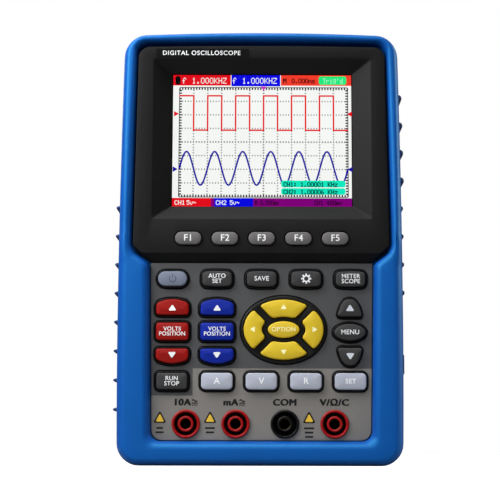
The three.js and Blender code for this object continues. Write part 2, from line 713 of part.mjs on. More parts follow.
function lcdModule() {
  const back = LCD.frontY + LCD.thick;
  const glass = block(
    [FRONT_X - SCREEN.width / 2 - 1.5, LCD.frontY, SCREEN.lowZ - 1.5],
    [FRONT_X + SCREEN.width / 2 + 1.5, back, SCREEN.highZ + 1.5],
  );
  const frame = block(
    [FRONT_X - LCD.width / 2, LCD.frontY + LCD.flangeDrop, LCD.lowZ],
    [FRONT_X + LCD.width / 2, back, LCD.highZ],
  );
  return glass.add(frame);
}

function board(spec, parts) {
  const back = spec.frontY + BOARD_THICK;
  const plate = block([spec.lowX, spec.frontY, spec.lowZ], [spec.highX, back, spec.highZ]);
  return parts.reduce((solid, [low, high]) => solid.add(block(low, high)), plate);
}

const keyBoard = () => board(KEY_BOARD, [
  [[-30, -10, 88], [30, -7.4, 94]], // connector to the main board
  [[-20, -10, 44], [-8, -8.4, 56]],
]);

const mainBoard = () => board(MAIN_BOARD, [
  [[-36, -3.4, 112], [2, -0.5, 158]], // shield over the input stage
  [[12, -2.8, 96], [30, -0.5, 114]], // processor
  [[30, -2.6, 122], [42, -0.5, 140]], // memory
  [[28, -4.2, 60], [40, -0.5, 72]], // power coil
  [[-34, -3.2, 36], [-18, -0.5, 50]], // meter fuse
]);

function batteryPack() {
  const { halfWidth, lowZ, highZ, frontY, backY, edge } = BATTERY;
  const outline = (inset) => moved(
    panelShape(2 * (halfWidth - inset), highZ - lowZ - 2 * inset, 3),
    0,
    (lowZ + highZ) / 2,
  );
  return loft([
    atDepth(outline(edge), backY),
    atDepth(outline(0), backY - edge),
    atDepth(outline(0), frontY + edge),
    atDepth(outline(edge), frontY),
  ]);
}

// ---- Back pieces --------------------------------------------------------------------------------

function batteryDoor() {
  const backY = STAND_RECESS.floorY - 0.1;
  const outline = moved(
    panelShape(2 * DOOR.halfWidth, DOOR.highZ - DOOR.lowZ, 2),
    0,
    (DOOR.lowZ + DOOR.highZ) / 2,
  );
  return prism(outline, backY - DOOR.thick, backY)
    .subtract(bar(0, DOOR.screwZ, BOSS.holeR, backY - 4, backY + 1))
    .subtract(bar(0, DOOR.screwZ, 3.3, backY - 1.3, backY + 1, 14));
}

function batteryDoorScrew() {
  const headBack = STAND_RECESS.floorY - 0.2;
  const slot = block([-2.3, headBack - 0.6, DOOR.screwZ - 0.4], [2.3, headBack + 1, DOOR.screwZ + 0.4]);
  return bar(0, DOOR.screwZ, 3, headBack - 0.85, headBack, 14)
    .add(bar(0, DOOR.screwZ, SCREW.shaftR, headBack - 6, headBack - 0.4, 10))
    .subtract(slot);
}

function kickstand() {
  const { halfWidth, lowZ, hingeZ, hingeY, thick, pinR, pinLength } = STAND;
  const half = thick / 2;
  const plate = block([-halfWidth, hingeY - half, lowZ], [halfWidth, hingeY + half, hingeZ]);
  const knuckle = hingeRod(halfWidth, half);
  const pins = hingeRod(halfWidth + pinLength, pinR);
  const groove = (z) => block([-22, hingeY + half - 0.5, z - 1], [22, hingeY + half + 1, z + 1]);
  return [34, 40, 46].reduce((solid, z) => solid.subtract(groove(z)), plate.add(knuckle).add(pins));
}

function caseScrew([x, z]) {
  const { headR, headY, headThick, shaftR } = SCREW;
  const head = bar(x, z, headR, headY - headThick, headY, 14);
  const cross = (w, h) => block([x - w, headY - 1.1, z - h], [x + w, headY + 1, z + h]);
  return head.add(bar(x, z, shaftR, -4, headY - headThick + 0.5, 10))
    .subtract(cross(1.7, 0.35))
    .subtract(cross(0.35, 1.7));
}

// ---- Jacks and inputs ---------------------------------------------------------------------------

function jackHousing(x) {
  const j = JACK;
  const front = -j.frontY;
  const profile = [
    [j.boreR, -j.backY],
    [j.bodyR, -j.backY],
    [j.bodyR, front - 0.75],
    [j.flangeR, front - 0.75],
    [j.flangeR, front - 0.3],
    [j.flangeR - 0.35, front],
    [j.grooveOuterR, front],
    [j.grooveOuterR, front - j.grooveDepth],
    [j.grooveInnerR, front - j.grooveDepth],
    [j.grooveInnerR, front - 0.4],
    [j.mouthR, front - 0.4],
    [j.mouthR, front - j.lipDepth],
    [j.boreR, front - j.lipDepth],
  ];
  return turned(profile, 16, frontAxis(x, j.z));
}

function jackContact(x) {
  const c = CONTACT;
  const profile = [
    [0, -c.backY - c.pinLength],
    [c.pinR, -c.backY - c.pinLength],
    [c.pinR, -c.backY],
    [c.outerR, -c.backY],
    [c.outerR, -c.frontY],
    [c.innerR, -c.frontY],
    [c.innerR, -c.backY + 1.5],
    [0, -c.backY + 1.5],
  ];
  return turned(profile, 12, frontAxis(x, JACK.z));
}

function bncSocket(z) {
  const b = BNC;
  const wall = -INPUT_BAY.wallX + CLEAR;
  const mouth = -b.mouthX;
  const profile = [
    [0, -b.tailX],
    [b.tailR, -b.tailX],
    [b.tailR, wall],
    [b.flangeR, wall],
    [b.flangeR, wall + b.flangeThick],
    [b.barrelR, wall + b.flangeThick],
    [b.barrelR, mouth],
    [b.barrelInnerR, mouth],
    [b.barrelInnerR, mouth - b.cavityDepth],
    [b.coreR, mouth - b.cavityDepth],
    [b.coreR, mouth - 1],
    [0.7, mouth - 1],
    [0.7, mouth - 4],
    [0, mouth - 4],
  ];
  const body = turned(profile, 16, sideAxis(b.y, z));
  const lug = (lowY) => bar(b.mouthX + 3.4, z, b.lugR, lowY, lowY + 1.3, 8);
  return body.add(lug(b.y - b.barrelR - 0.9)).add(lug(b.y + b.barrelR - 0.4));
}

function usbPort() {
  const outerX = CASE.halfWidth - FLAP.thick - 0.9;
  const x0 = outerX - USB.depth;
  const y = USB.height / 2;
  const z = USB.width / 2;
  const shell = block([x0, USB.y - y, USB.z - z], [outerX, USB.y + y, USB.z + z]);
  const mouth = block(
    [x0 + 1.2, USB.y - y + USB.shell, USB.z - z + USB.shell],
    [outerX + 1, USB.y + y - USB.shell, USB.z + z - USB.shell],
  );
  const tongue = block([x0 + 0.5, USB.y - 0.4, USB.z - 3.2], [outerX - 1.5, USB.y + 0.4, USB.z + 3.2]);
  return shell.subtract(mouth).add(tongue);
}

// ---- Rubber pieces ------------------------------------------------------------------------------

// The flap turns about a line along its rear edge
function portCover() {
  const outerX = CASE.halfWidth - 0.25;
  const hingeY = FLAP.highY - FLAP.hingeR;
  const plate = block([outerX - FLAP.thick, FLAP.lowY, FLAP.lowZ], [outerX, hingeY, FLAP.highZ]);
  const bead = new THREE.CylinderGeometry(FLAP.hingeR, FLAP.hingeR, FLAP.highZ - FLAP.lowZ, 12);
  bead.rotateX(Math.PI / 2);
  bead.translate(outerX - FLAP.hingeR, hingeY, (FLAP.lowZ + FLAP.highZ) / 2);
  const plug = block(
    [outerX - FLAP.thick - 1.4, USB.y - 1.3, USB.z - 3.4],
    [outerX - 0.5, USB.y - 0.75, USB.z + 3.4],
  );
  const tab = block([outerX - 0.3, FLAP.lowY + 0.8, USB.z - 4], [outerX + 0.7, FLAP.lowY + 2, USB.z + 4]);
  return plate.add(toSolid(bead)).add(plug).add(tab);
}

// Inlaid plate with rounded ribs standing proud of the side
function grip(spec) {
  const plate = gripInlay(spec, 0).intersect(loft(frontRings(GRIP.seat)));
  return spec.sizes.reduce((solid, { height, proud }, i) => {
    const z = spec.topZ - i * spec.pitch;
    const edge = CASE.halfWidth - 0.4 - (z - CASE.widestZ) ** 2 / 9000;
    const rib = new THREE.CapsuleGeometry(height / 2, RIB.highY - RIB.lowY - height, 2, 8);
    rib.scale((2 * proud) / height, 1, 1);
    rib.translate(spec.side * edge, (RIB.lowY + RIB.highY) / 2, z);
    return solid.add(toSolid(rib));
  }, plate);
}

// ---- Assembly -----------------------------------------------------------------------------------

const scope = new THREE.Group();

function place(name, solid, material) {
  const mesh = new THREE.Mesh(toGeometry(solid), material);
  mesh.name = name;
  scope.add(mesh);
}

const keys = allKeys();
const fKeys = keys.filter((key) => key.topY === F_KEY_TOP_Y);
const panelKeys = keys.filter((key) => key.topY !== F_KEY_TOP_Y);

place('front_shell', frontShell(), MATERIAL.caseBlue);
place('rear_shell', rearShell(), MATERIAL.caseBlue);
place('display_bezel', displayBezel(fKeys), MATERIAL.bezelBlack);
place('control_panel', controlPanel(panelKeys), MATERIAL.panelGrey);
place('display_window', displayWindow(), MATERIAL.clear);
place('lcd_module', lcdModule(), MATERIAL.screen);
place('keypad_mat', keypadMat(panelKeys), MATERIAL.rubberBlack);
place('key_board', keyBoard(), MATERIAL.board);
place('main_board', mainBoard(), MATERIAL.board);
for (const key of keys) place(key.name, keySolid(key), key.material);
JACK.xs.forEach((x, i) => {
  const material = JACK.names[i] === 'com' ? MATERIAL.jackBlack : MATERIAL.jackRed;
  place(`jack_${JACK.names[i]}`, jackHousing(x), material);
  place(`contact_${JACK.names[i]}`, jackContact(x), MATERIAL.brass);
});
BNC.zs.forEach((z, i) => place(`bnc_ch${i + 1}`, bncSocket(z), MATERIAL.nickel));
place('usb_port', usbPort(), MATERIAL.nickel);
place('port_cover', portCover(), MATERIAL.rubberBlack);
place('grip_left', grip(LEFT_GRIP), MATERIAL.gripGrey);
place('grip_right', grip(RIGHT_GRIP), MATERIAL.gripGrey);
place('battery_pack', batteryPack(), MATERIAL.battery);
place('battery_door', batteryDoor(), MATERIAL.backGrey);
place('battery_door_screw', batteryDoorScrew(), MATERIAL.steel);
place('kickstand', kickstand(), MATERIAL.backGrey);
screwPlaces.forEach((at, i) => place(`case_screw_${i + 1}`, caseScrew(at), MATERIAL.steel));

export default scope;
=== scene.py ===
"""Looks of the handheld oscilloscope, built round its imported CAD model.

Solids are drawn in millimetres as (u, v, h): across, up, and out towards a person who faces that side.
"""

import re
from math import acos, atan2, copysign, cos, pi, radians, sin, sqrt, tan

import bmesh
import bpy
from mathutils import Matrix, Vector


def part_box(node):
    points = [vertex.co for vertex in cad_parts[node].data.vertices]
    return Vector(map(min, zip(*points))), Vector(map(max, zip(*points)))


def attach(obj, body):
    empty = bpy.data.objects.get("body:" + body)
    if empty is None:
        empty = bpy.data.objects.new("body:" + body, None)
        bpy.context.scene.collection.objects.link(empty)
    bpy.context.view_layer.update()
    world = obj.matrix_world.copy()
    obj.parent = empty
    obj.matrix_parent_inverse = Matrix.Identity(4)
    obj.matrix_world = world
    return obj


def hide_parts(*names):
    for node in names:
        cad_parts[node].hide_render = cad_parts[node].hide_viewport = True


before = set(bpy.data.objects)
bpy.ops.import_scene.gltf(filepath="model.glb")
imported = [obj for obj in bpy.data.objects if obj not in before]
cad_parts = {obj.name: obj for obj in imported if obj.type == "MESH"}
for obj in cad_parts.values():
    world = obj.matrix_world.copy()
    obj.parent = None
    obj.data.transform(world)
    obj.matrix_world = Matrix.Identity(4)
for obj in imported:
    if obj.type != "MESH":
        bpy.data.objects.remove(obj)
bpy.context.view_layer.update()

MM = 0.001
FRONT = Matrix(((1, 0, 0), (0, 0, -1), (0, 1, 0)))
LEFT = Matrix(((0, 0, -1), (-1, 0, 0), (0, 1, 0)))
RIGHT = Matrix(((0, 0, 1), (1, 0, 0), (0, 1, 0)))

CLEAR = 0.3  # gap between neighbouring pieces
FRONT_X = 0.5  # the panel and the keys sit a little to the right of the case's middle
BEZEL_X = 0.3  # and so does the bezel


class Box:
    """A CAD node's box in millimetres, as seen from the front."""

    def __init__(self, node):
        low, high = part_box(node)
        self.left, self.right = low.x / MM, high.x / MM
        self.foot, self.top = low.z / MM, high.z / MM
        self.front, self.back = -low.y / MM, -high.y / MM
        self.u, self.v = (self.left + self.right) / 2, (self.foot + self.top) / 2
        self.width, self.height = self.right - self.left, self.top - self.foot


# ---- Solids ---------------------------------------------------------------------------------------


class Solid:
    """Closed surfaces: points in millimetres, and faces as lists of point numbers."""

    def __init__(self, points=(), faces=()):
        self.points = [Vector(p) for p in points]
        self.faces = [list(f) for f in faces]

    def __add__(self, other):
        shift = len(self.points)
        moved = [[i + shift for i in face] for face in other.faces]
        return Solid(self.points + other.points, self.faces + moved)

    def __sub__(self, other):
        return boolean(self, other, "DIFFERENCE")

    def __or__(self, other):
        return boolean(self, other, "UNION")

    def __and__(self, other):
        return boolean(self, other, "INTERSECT")

    def at(self, u=0.0, v=0.0, h=0.0):
        return Solid([p + Vector((u, v, h)) for p in self.points], self.faces)

    def through(self, matrix):
        return Solid([matrix @ p for p in self.points], self.faces)

    def outward(self):
        """The same closed surface with its faces turned outwards."""
        volume = 0.0
        for face in self.faces:
            start = self.points[face[0]]
            for i, j in zip(face[1:], face[2:]):
                volume += start.dot(self.points[i].cross(self.points[j]))
        if volume > 0:
            return self
        return Solid(self.points, [face[::-1] for face in self.faces])

    def mesh(self, name):
        mesh = bpy.data.meshes.new(name)
        mesh.from_pydata(self.points, [], self.faces)
        return mesh


def from_object(thing):
    """What an object's mesh is with its modifiers, as a Solid. The object is removed."""
    bpy.context.scene.collection.objects.link(thing)
    evaluated = thing.evaluated_get(bpy.context.evaluated_depsgraph_get())
    mesh = evaluated.to_mesh()
    solid = Solid([v.co for v in mesh.vertices], [f.vertices for f in mesh.polygons])
    bpy.data.objects.remove(thing)
    return solid


def boolean(first, second, operation):
    cutter = bpy.data.objects.new("cutter", second.mesh("cutter"))
    bpy.context.scene.collection.objects.link(cutter)
    thing = bpy.data.objects.new("cut", first.mesh("cut"))
    modifier = thing.modifiers.new("boolean", "BOOLEAN")
    modifier.object = cutter
    modifier.operation = operation
    modifier.solver = "EXACT"
    solid = from_object(thing)
    bpy.data.objects.remove(cutter)
    return solid


def all_of(solids):
    return sum(solids, Solid())


def loft(rings, around=False):
    """A skin over rings of points. It ends in flat caps, or runs around to its first ring."""
    count = len(rings[0])
    faces = []
    for r in range(len(rings) if around else len(rings) - 1):
        low = r * count
        high = (r + 1) % len(rings) * count
        for i in range(count):
            j = (i + 1) % count
            faces.append([low + i, low + j, high + j, high + i])
    points = [p for ring in rings for p in ring]
    if not around:
        faces.append(list(reversed(range(count))))
        faces.append(list(range(len(points) - count, len(points))))
    return Solid(points, faces).outward()


def ring_at(outline, h):
    return [Vector((p.x, p.y, h)) for p in outline]


def tower(draw, levels, around=False):
    """A loft through one outline, grown by a different amount at each height."""
    return loft([ring_at(draw(grow), h) for h, grow in levels], around)


def prism(points, back, front):
    """An outline with straight walls."""
    return loft([ring_at(points, back), ring_at(points, front)])


def over_edge(h, radius, grow=0.0, steps=4):
    """Levels of a tower that round its front edge off."""
    turns = [pi / 2 * k / steps for k in range(steps + 1)]
    return [(h - radius + radius * sin(a), grow - radius * (1 - cos(a))) for a in turns]


def pebble(draw, back, front, edge=0.5, back_edge=0.2, steps=4):
    """A plate with round edges."""
    return tower(draw, [(back, -back_edge), (back + back_edge, 0), *over_edge(front, edge, steps=steps)])


def lathe(profile, segments=48):
    """A solid turned about the h axis from a profile of (radius, height)."""
    rings = []
    for k in range(segments):
        a = 2 * pi * k / segments
        rings.append([Vector((max(p.x, 0.001) * cos(a), max(p.x, 0.001) * sin(a), p.y)) for p in profile])
    return loft(rings, around=True)


def rod(radius, low, high, edge, segments):
    """A cylinder along the h axis with rounded rims."""
    profile = outline([(0, low, 0), (radius, low, edge), (radius, high, edge), (0, high, 0)], 3)
    return lathe(profile, segments)


# ---- Outlines -------------------------------------------------------------------------------------


def outline(corners, steps=6, splits=1):
    """Corners (u, v, radius) joined by straight edges.

    A corner is rounded by an arc. On a straight line it becomes points spread over its radius each way.
    """
    arcs = []
    for i, (u, v, radius) in enumerate(corners):
        here = Vector((u, v))
        before = (Vector(corners[i - 1][:2]) - here).normalized()
        after = (Vector(corners[(i + 1) % len(corners)][:2]) - here).normalized()
        facing = before.dot(after)
        if not radius:
            arcs.append([here])
            continue
        if facing < -0.99995:
            arcs.append([here + after * radius * (2 * k / steps - 1) for k in range(steps + 1)])
            continue
        half = acos(facing) / 2
        centre = here + (before + after).normalized() * (radius / sin(half))
        start = here + before * (radius / tan(half)) - centre
        end = here + after * (radius / tan(half)) - centre
        turn = atan2(start.x * end.y - start.y * end.x, start.dot(end))
        arcs.append([centre + Matrix.Rotation(turn * k / steps, 2) @ start for k in range(steps + 1)])
    points = []
    for i, arc in enumerate(arcs):
        following = arcs[(i + 1) % len(arcs)][0]
        points += arc
        points += [arc[-1].lerp(following, k / splits) for k in range(1, splits)]
    return points


def mirrored(right, steps, splits):
    """An outline from the corners of its right side, foot first."""
    left = [(-u, v, radius) for u, v, radius in reversed(right)]
    return outline(right + left, steps, splits)


def moved(points, u, v):
    return [p + Vector((u, v)) for p in points]


def placed(draw, u, v):
    return lambda grow=0.0: moved(draw(grow), u, v)


def bowed(width, height, radius, high=0.0, low=0.0):
    """A round-cornered rectangle whose upper and lower edges may bow out."""

    def draw(grow=0.0):
        half = width / 2 + grow
        top = height / 2 - high + grow
        foot = low - height / 2 - grow
        r = max(min(radius + grow, half - 0.05, (top - foot) / 2 - 0.05), 0.05)
        corners = [(-half, foot, r), (half, foot, r), (half, top, r), (-half, top, r)]
        points = outline(corners, steps=6, splits=6 if high or low else 1)
        for p in points:
            bow = high if p.y > 0 else low
            p.y += copysign(bow * (1 - (p.x / half) ** 2), p.y)
        return points

    return draw


def pill(width, height):
    return bowed(width, height, min(width, height) / 2)


def oval(width, height, count=48):
    def draw(grow=0.0):
        turns = [2 * pi * k / count for k in range(count)]
        return [Vector(((width / 2 + grow) * cos(a), (height / 2 + grow) * sin(a))) for a in turns]

    return draw


def disc(radius, count=32):
    return oval(2 * radius, 2 * radius, count)


def dome(width, height, up):
    """A rounded shape that narrows upwards (up = 1) or downwards (up = -1)."""
    waist = 0.62

    def draw(grow=0.0):
        w, h = width / 2 + grow, height / 2 + grow
        small, large = max(0.9 + grow, 0.1), max(3.2 + grow, 0.4)
        points = mirrored([(w, -h, small), (w * waist, h * waist, large)], 5, 4)
        for p in points:
            if p.y > 0:
                p.y += h * (1 - waist) * (1 - (p.x / w) ** 2) * min(1.0, p.y / (h * waist))
        return points if up > 0 else [Vector((p.x, -p.y)) for p in reversed(points)]

    return draw


# ---- Materials ------------------------------------------------------------------------------------


def colour(code):
    """A linear colour from its six hexadecimal digits."""
    parts = [int(code[i:i + 2], 16) / 255 for i in (0, 2, 4)]
    return tuple(c / 12.92 if c <= 0.04045 else ((c + 0.055) / 1.055) ** 2.4 for c in parts) + (1.0,)


class Recipe:
    """A material under construction: its nodes, with short ways to add and link them."""

    def __init__(self, name):
        self.material = bpy.data.materials.new(name)
        self.material.use_nodes = True
        self.nodes = self.material.node_tree.nodes
        self.shader = self.nodes["Principled BSDF"]
        self.place = self.nodes.new("ShaderNodeTexCoord").outputs["Object"]

    def set(self, name, value):
        """A socket of the shader takes a value, or the output that is linked to it."""
        self.fill([self.shader.inputs[name]], [value])

    def link(self, source, socket):
        self.material.node_tree.links.new(source, socket)

    def node(self, kind, inputs=None, **settings):
        node = self.nodes.new(kind)
        for key, value in settings.items():
            setattr(node, key, value)
        inputs = inputs or {}
        self.fill([node.inputs[key] for key in inputs], inputs.values())
        return node

    def noise(self, size, detail=2.0, rough=0.5):
        """Noise whose features are about this many millimetres across."""
        inputs = {"Vector": self.place, "Scale": 1 / (size * MM), "Detail": detail, "Roughness": rough}
        return self.node("ShaderNodeTexNoise", inputs).outputs["Fac"]

    def spread(self, value, low, high, source=(0.3, 0.7)):
        """A value of 0.3 to 0.7 spread over a new range."""
        inputs = {"Value": value, "From Min": source[0], "From Max": source[1], "To Min": low, "To Max": high}
        return self.node("ShaderNodeMapRange", inputs).outputs["Result"]

    def fill(self, sockets, values):
        """Each socket takes its value, or the output that is linked to it."""
        for socket, value in zip(sockets, values):
            if isinstance(value, bpy.types.NodeSocket):
                self.link(value, socket)
            else:
                socket.default_value = value

    def mix(self, factor, first, second):
        node = self.node("ShaderNodeMix", {"Factor": factor}, data_type="RGBA")
        self.fill([s for s in node.inputs if s.type == "RGBA"], (first, second))
        return next(s for s in node.outputs if s.type == "RGBA")

    def maths(self, operation, first, second):
        node = self.node("ShaderNodeMath", operation=operation)
        self.fill(node.inputs, (first, second))
        return node.outputs["Value"]

    def bump(self, height, depth):
        """Relief of this many millimetres."""
        inputs = {"Height": height, "Distance": depth * MM, "Strength": 1.0}
        return self.node("ShaderNodeBump", inputs).outputs["Normal"]


def tinted(code, factor):
    return tuple(min(c * factor, 1.0) for c in colour(code)[:3]) + (1.0,)


def moulded(name, code, roughness, grain=0.4, relief=0.012, uneven=0.05, gloss=0.25, glint=(1, 1, 1, 1)):
    """Moulded plastic or rubber, with a fine grain and slight unevenness in its colour and gloss."""
    r = Recipe(name)
    r.set("Specular IOR Level", gloss)
    r.set("Specular Tint", glint)
    cloudy = r.noise(14.0)
    shade = r.mix(r.spread(cloudy, 0, 1), tinted(code, 1 - uneven), tinted(code, 1 + uneven))
    r.set("Base Color", shade)
    fine = r.noise(grain, detail=3.0, rough=0.6)
    r.set("Roughness", r.spread(fine, roughness - 0.05, roughness + 0.05))
    r.set("Normal", r.bump(fine, relief))
    return r.material


def paint(name, code):
    """The paint of a raised legend."""
    return moulded(name, code, 0.55, grain=0.2, relief=0.004)


def turned_metal(name, code, roughness):
    """Plated or machined metal with fine tool marks and a little tarnish."""
    r = Recipe(name)
    tarnish = r.noise(3.0, detail=4.0)
    r.set("Base Color", r.mix(r.spread(tarnish, 0, 1), tinted(code, 0.82), colour(code)))
    marks = r.noise(0.15, detail=2.0)
    r.set("Roughness", r.spread(marks, roughness - 0.08, roughness + 0.1))
    r.set("Normal", r.bump(marks, 0.004))
    r.set("Metallic", 1.0)
    return r.material


def circuit_board(name):
    """Green solder mask with raised copper tracks and tinned pads."""
    r = Recipe(name)
    inputs = {"Vector": r.place, "Scale": 380.0, "Randomness": 0.35}
    cells = r.node("ShaderNodeTexVoronoi", inputs, feature="F1", distance="MANHATTAN")
    track = r.spread(cells.outputs["Distance"], 1, 0, (0.28, 0.34))
    shade = r.mix(track, colour("123f26"), colour("2a6a3c"))
    spots = r.node("ShaderNodeTexVoronoi", {"Vector": r.place, "Scale": 240.0}, feature="F1")
    pad = r.spread(spots.outputs["Distance"], 1, 0, (0.1, 0.14))
    r.set("Base Color", r.mix(pad, shade, colour("b9b6a4")))
    r.set("Normal", r.bump(track, 0.04))
    r.set("Roughness", r.spread(r.noise(5.0), 0.3, 0.45))
    return r.material


def shrink_wrap(name, code):
    """Glossy sleeve over a battery, with soft creases."""
    r = Recipe(name)
    creases = r.noise(9.0, detail=3.0)
    shade = r.mix(r.spread(creases, 0, 1), tinted(code, 0.9), tinted(code, 1.15))
    r.set("Base Color", shade)
    r.set("Normal", r.bump(creases, 0.25))
    r.set("Roughness", r.spread(r.noise(1.0), 0.22, 0.34))
    return r.material


def lit(name, code):
    """Part of the picture on the display: light through the display's fine rows of dots."""
    r = Recipe(name)
    rows = r.node("ShaderNodeTexWave", {"Vector": r.place, "Scale": 1200.0}, bands_direction="Z")
    shade = r.mix(rows.outputs["Fac"], tinted(code, 0.96), colour(code))
    r.set("Emission Color", shade)
    r.set("Emission Strength", 1.0)
    r.set("Base Color", (0, 0, 0, 1))
    r.set("Specular IOR Level", 0.0)
    return r.material


def clear_plate(name):
    """Clear acrylic with a faint haze."""
    r = Recipe(name)
    haze = r.noise(20.0, detail=3.0)
    r.set("Alpha", r.spread(haze, 0.02, 0.035))
    r.set("Roughness", r.spread(haze, 0.06, 0.1))
    r.set("Base Color", colour("1a1c1e"))
    r.set("Specular IOR Level", 0.2)
    return r.material


def jack_plastic_with_painted_shade(name, code):
    """Glossy plastic of a banana jack, with painted shade that darkens it to near black down its narrow
    groove.
    """
    r = Recipe(name)
    axes = r.node("ShaderNodeSeparateXYZ", {"Vector": r.place})
    # painted shade: the colour fades to near black with depth down the groove
    depth = r.spread(axes.outputs["Y"], 0, 1, (-15.85 * MM, -15.1 * MM))
    shade = r.mix(r.spread(r.noise(2.0), 0, 1), tinted(code, 0.92), tinted(code, 1.06))
    r.set("Base Color", r.mix(depth, shade, tinted(code, 0.03)))
    fine = r.noise(0.3)
    r.set("Roughness", r.spread(fine, 0.28, 0.36))
    r.set("Normal", r.bump(fine, 0.006))
    r.set("Specular IOR Level", 0.2)
    return r.material


def sunk_brass_with_painted_shade(name, code):
    """Brass of a sleeve deep in its jack, darkened all over by painted shade, and darker still towards its
    bottom.
    """
    r = Recipe(name)
    axes = r.node("ShaderNodeSeparateXYZ", {"Vector": r.place})
    # painted shade: the whole sleeve is darkened, and more so with depth towards its bottom
    depth = r.spread(axes.outputs["Y"], 0, 1, (-14.3 * MM, -13.0 * MM))
    r.set("Base Color", r.mix(depth, tinted(code, 0.12), tinted(code, 0.01)))
    marks = r.noise(0.2)
    r.set("Roughness", r.spread(marks, 0.35, 0.5))
    r.set("Normal", r.bump(marks, 0.004))
    r.set("Metallic", 1.0)
    return r.material


# The lower part of the panel is paler, apart from the space round the run key
PALE_TOP, PALE_STEP_X, PALE_LOW_TOP = 38.7, -27.1, 27.8


def panel_plastic(name, dark, pale):
    """Textured grey plastic in two tones."""
    r = Recipe(name)
    axes = r.node("ShaderNodeSeparateXYZ", {"Vector": r.place})
    right = r.maths("GREATER_THAN", axes.outputs["X"], PALE_STEP_X * MM)
    below = r.maths("LESS_THAN", axes.outputs["Z"], PALE_TOP * MM)
    low = r.maths("LESS_THAN", axes.outputs["Z"], PALE_LOW_TOP * MM)
    is_pale = r.maths("MAXIMUM", low, r.maths("MULTIPLY", right, below))
    fine = r.noise(0.45, detail=3.0, rough=0.7)
    speckle = r.spread(fine, 0, 1)
    dark_shade = r.mix(speckle, tinted(dark, 0.9), tinted(dark, 1.1))
    pale_shade = r.mix(speckle, tinted(pale, 0.93), tinted(pale, 1.07))
    r.set("Base Color", r.mix(is_pale, dark_shade, pale_shade))
    r.set("Roughness", r.spread(fine, 0.5, 0.62))
    r.set("Normal", r.bump(fine, 0.03))
    return r.material


CASE_BLUE = moulded("case_blue", "08489e", 0.48, grain=0.5, relief=0.01, gloss=0.8, glint=(0.12, 0.8, 1, 1))
BEZEL_BLACK = moulded("bezel_black", "151515", 0.5, grain=0.35, relief=0.02, gloss=0.11)
PANEL_GREY = panel_plastic("panel_grey", "414244", "777470")
PLATE_BLACK = moulded("plate_black", "0a0a0a", 0.5, grain=0.6, relief=0.002, gloss=0.06)
MAT_BLACK = moulded("mat_black", "0a0a0a", 0.42, grain=0.6, relief=0.01)
RUBBER_BLACK = moulded("rubber_black", "101112", 0.7, grain=0.5, relief=0.03)
GRIP_RUBBER = moulded("grip_rubber", "1b3462", 0.65, grain=0.4, relief=0.03)
KEY_SOFT = moulded("key_soft", "5f5d5d", 0.6, grain=0.3, relief=0.03)
KEY_GREY = moulded("key_grey", "333334", 0.5)
KEY_POWER = moulded("key_power", "6c7486", 0.5, uneven=0.08)
KEY_RED = moulded("key_red", "8e120e", 0.42, gloss=0.12)
KEY_BLUE = moulded("key_blue", "0e2590", 0.42, gloss=0.12)
KEY_YELLOW = moulded("key_yellow", "d0b226", 0.45)
KEY_WHITE = moulded("key_white", "a8adbb", 0.5)
JACK_RED = jack_plastic_with_painted_shade("jack_red", "9a1214")
JACK_BLACK = jack_plastic_with_painted_shade("jack_black", "0a0a0a")
BACK_GREY = moulded("back_grey", "303236", 0.6, grain=0.6, relief=0.03)
INK_WHITE = paint("ink_white", "e8eaec")
INK_BLACK = paint("ink_black", "0c0c0d")
INK_PALE = paint("ink_pale", "c9ced6")
INK_CREAM = paint("ink_cream", "f2eeb4")
INK_SLATE = paint("ink_slate", "4a5264")
INK_YELLOW = paint("ink_yellow", "dcb63a")
PTFE_WHITE = moulded("ptfe_white", "e4e4de", 0.45, grain=0.5)
NICKEL = turned_metal("nickel", "c8c8c4", 0.26)
BRASS = turned_metal("brass", "c9a24a", 0.3)
STEEL = turned_metal("steel", "8a8c90", 0.38)
SHADED_CONTACT_BRASS = sunk_brass_with_painted_shade("contact_brass_painted_shade", "c9a24a")
BOARD = circuit_board("board_green")
WRAP = shrink_wrap("battery_wrap", "2f3a4a")
WINDOW_CLEAR = clear_plate("window_clear")
LCD_GLASS = moulded("lcd_glass", "e9eced", 0.3, grain=0.2, relief=0.003)

LIT_WHITE = lit("lit_white", "fdfffc")
LIT_RED = lit("lit_red", "ea0c1c")
LIT_BLUE = lit("lit_blue", "0808e6")
LIT_NAVY = lit("lit_navy", "1408a4")
LIT_ORANGE = lit("lit_orange", "fa3e2c")
LIT_GREEN = lit("lit_green", "1ef080")
LIT_MINT = lit("lit_mint", "a4ffca")
LIT_CYAN = lit("lit_cyan", "14efc4")
LIT_PURPLE = lit("lit_purple", "82007c")
LIT_PLUM = lit("lit_plum", "2e0030")
LIT_MAGENTA = lit("lit_magenta", "d82cc8")
LIT_MAROON = lit("lit_maroon", "3c0202")
LIT_TEAL = lit("lit_teal", "002a24")
LIT_GREY = lit("lit_grey", "2a2a2a")
LIT_BLACK = lit("lit_black", "050505")


# ---- Pieces ---------------------------------------------------------------------------------------


def piece(name, parts, body, nodes=(), facing=FRONT, angle=38):
    """A shown object made of (solid, material) parts, in place of some CAD nodes."""
    whole = all_of(solid for solid, _ in parts)
    mesh = bpy.data.meshes.new(name)
    mesh.from_pydata([facing @ p * MM for p in whole.points], [], whole.faces)
    numbers = []
    for number, (solid, material) in enumerate(parts):
        numbers += [number] * len(solid.faces)
        mesh.materials.append(material)
    mesh.polygons.foreach_set("material_index", numbers)
    work = bmesh.new()
    work.from_mesh(mesh)
    bmesh.ops.remove_doubles(work, verts=work.verts, dist=0.002 * MM)
    bmesh.ops.dissolve_degenerate(work, edges=work.edges, dist=0.001 * MM)
    work.to_mesh(mesh)
    work.free()
    mesh.shade_smooth()
    mesh.set_sharp_from_angle(angle=radians(angle))
    thing = bpy.data.objects.new(name, mesh)
    bpy.context.scene.collection.objects.link(thing)
    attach(thing, body)
    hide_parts(*nodes)
    return thing


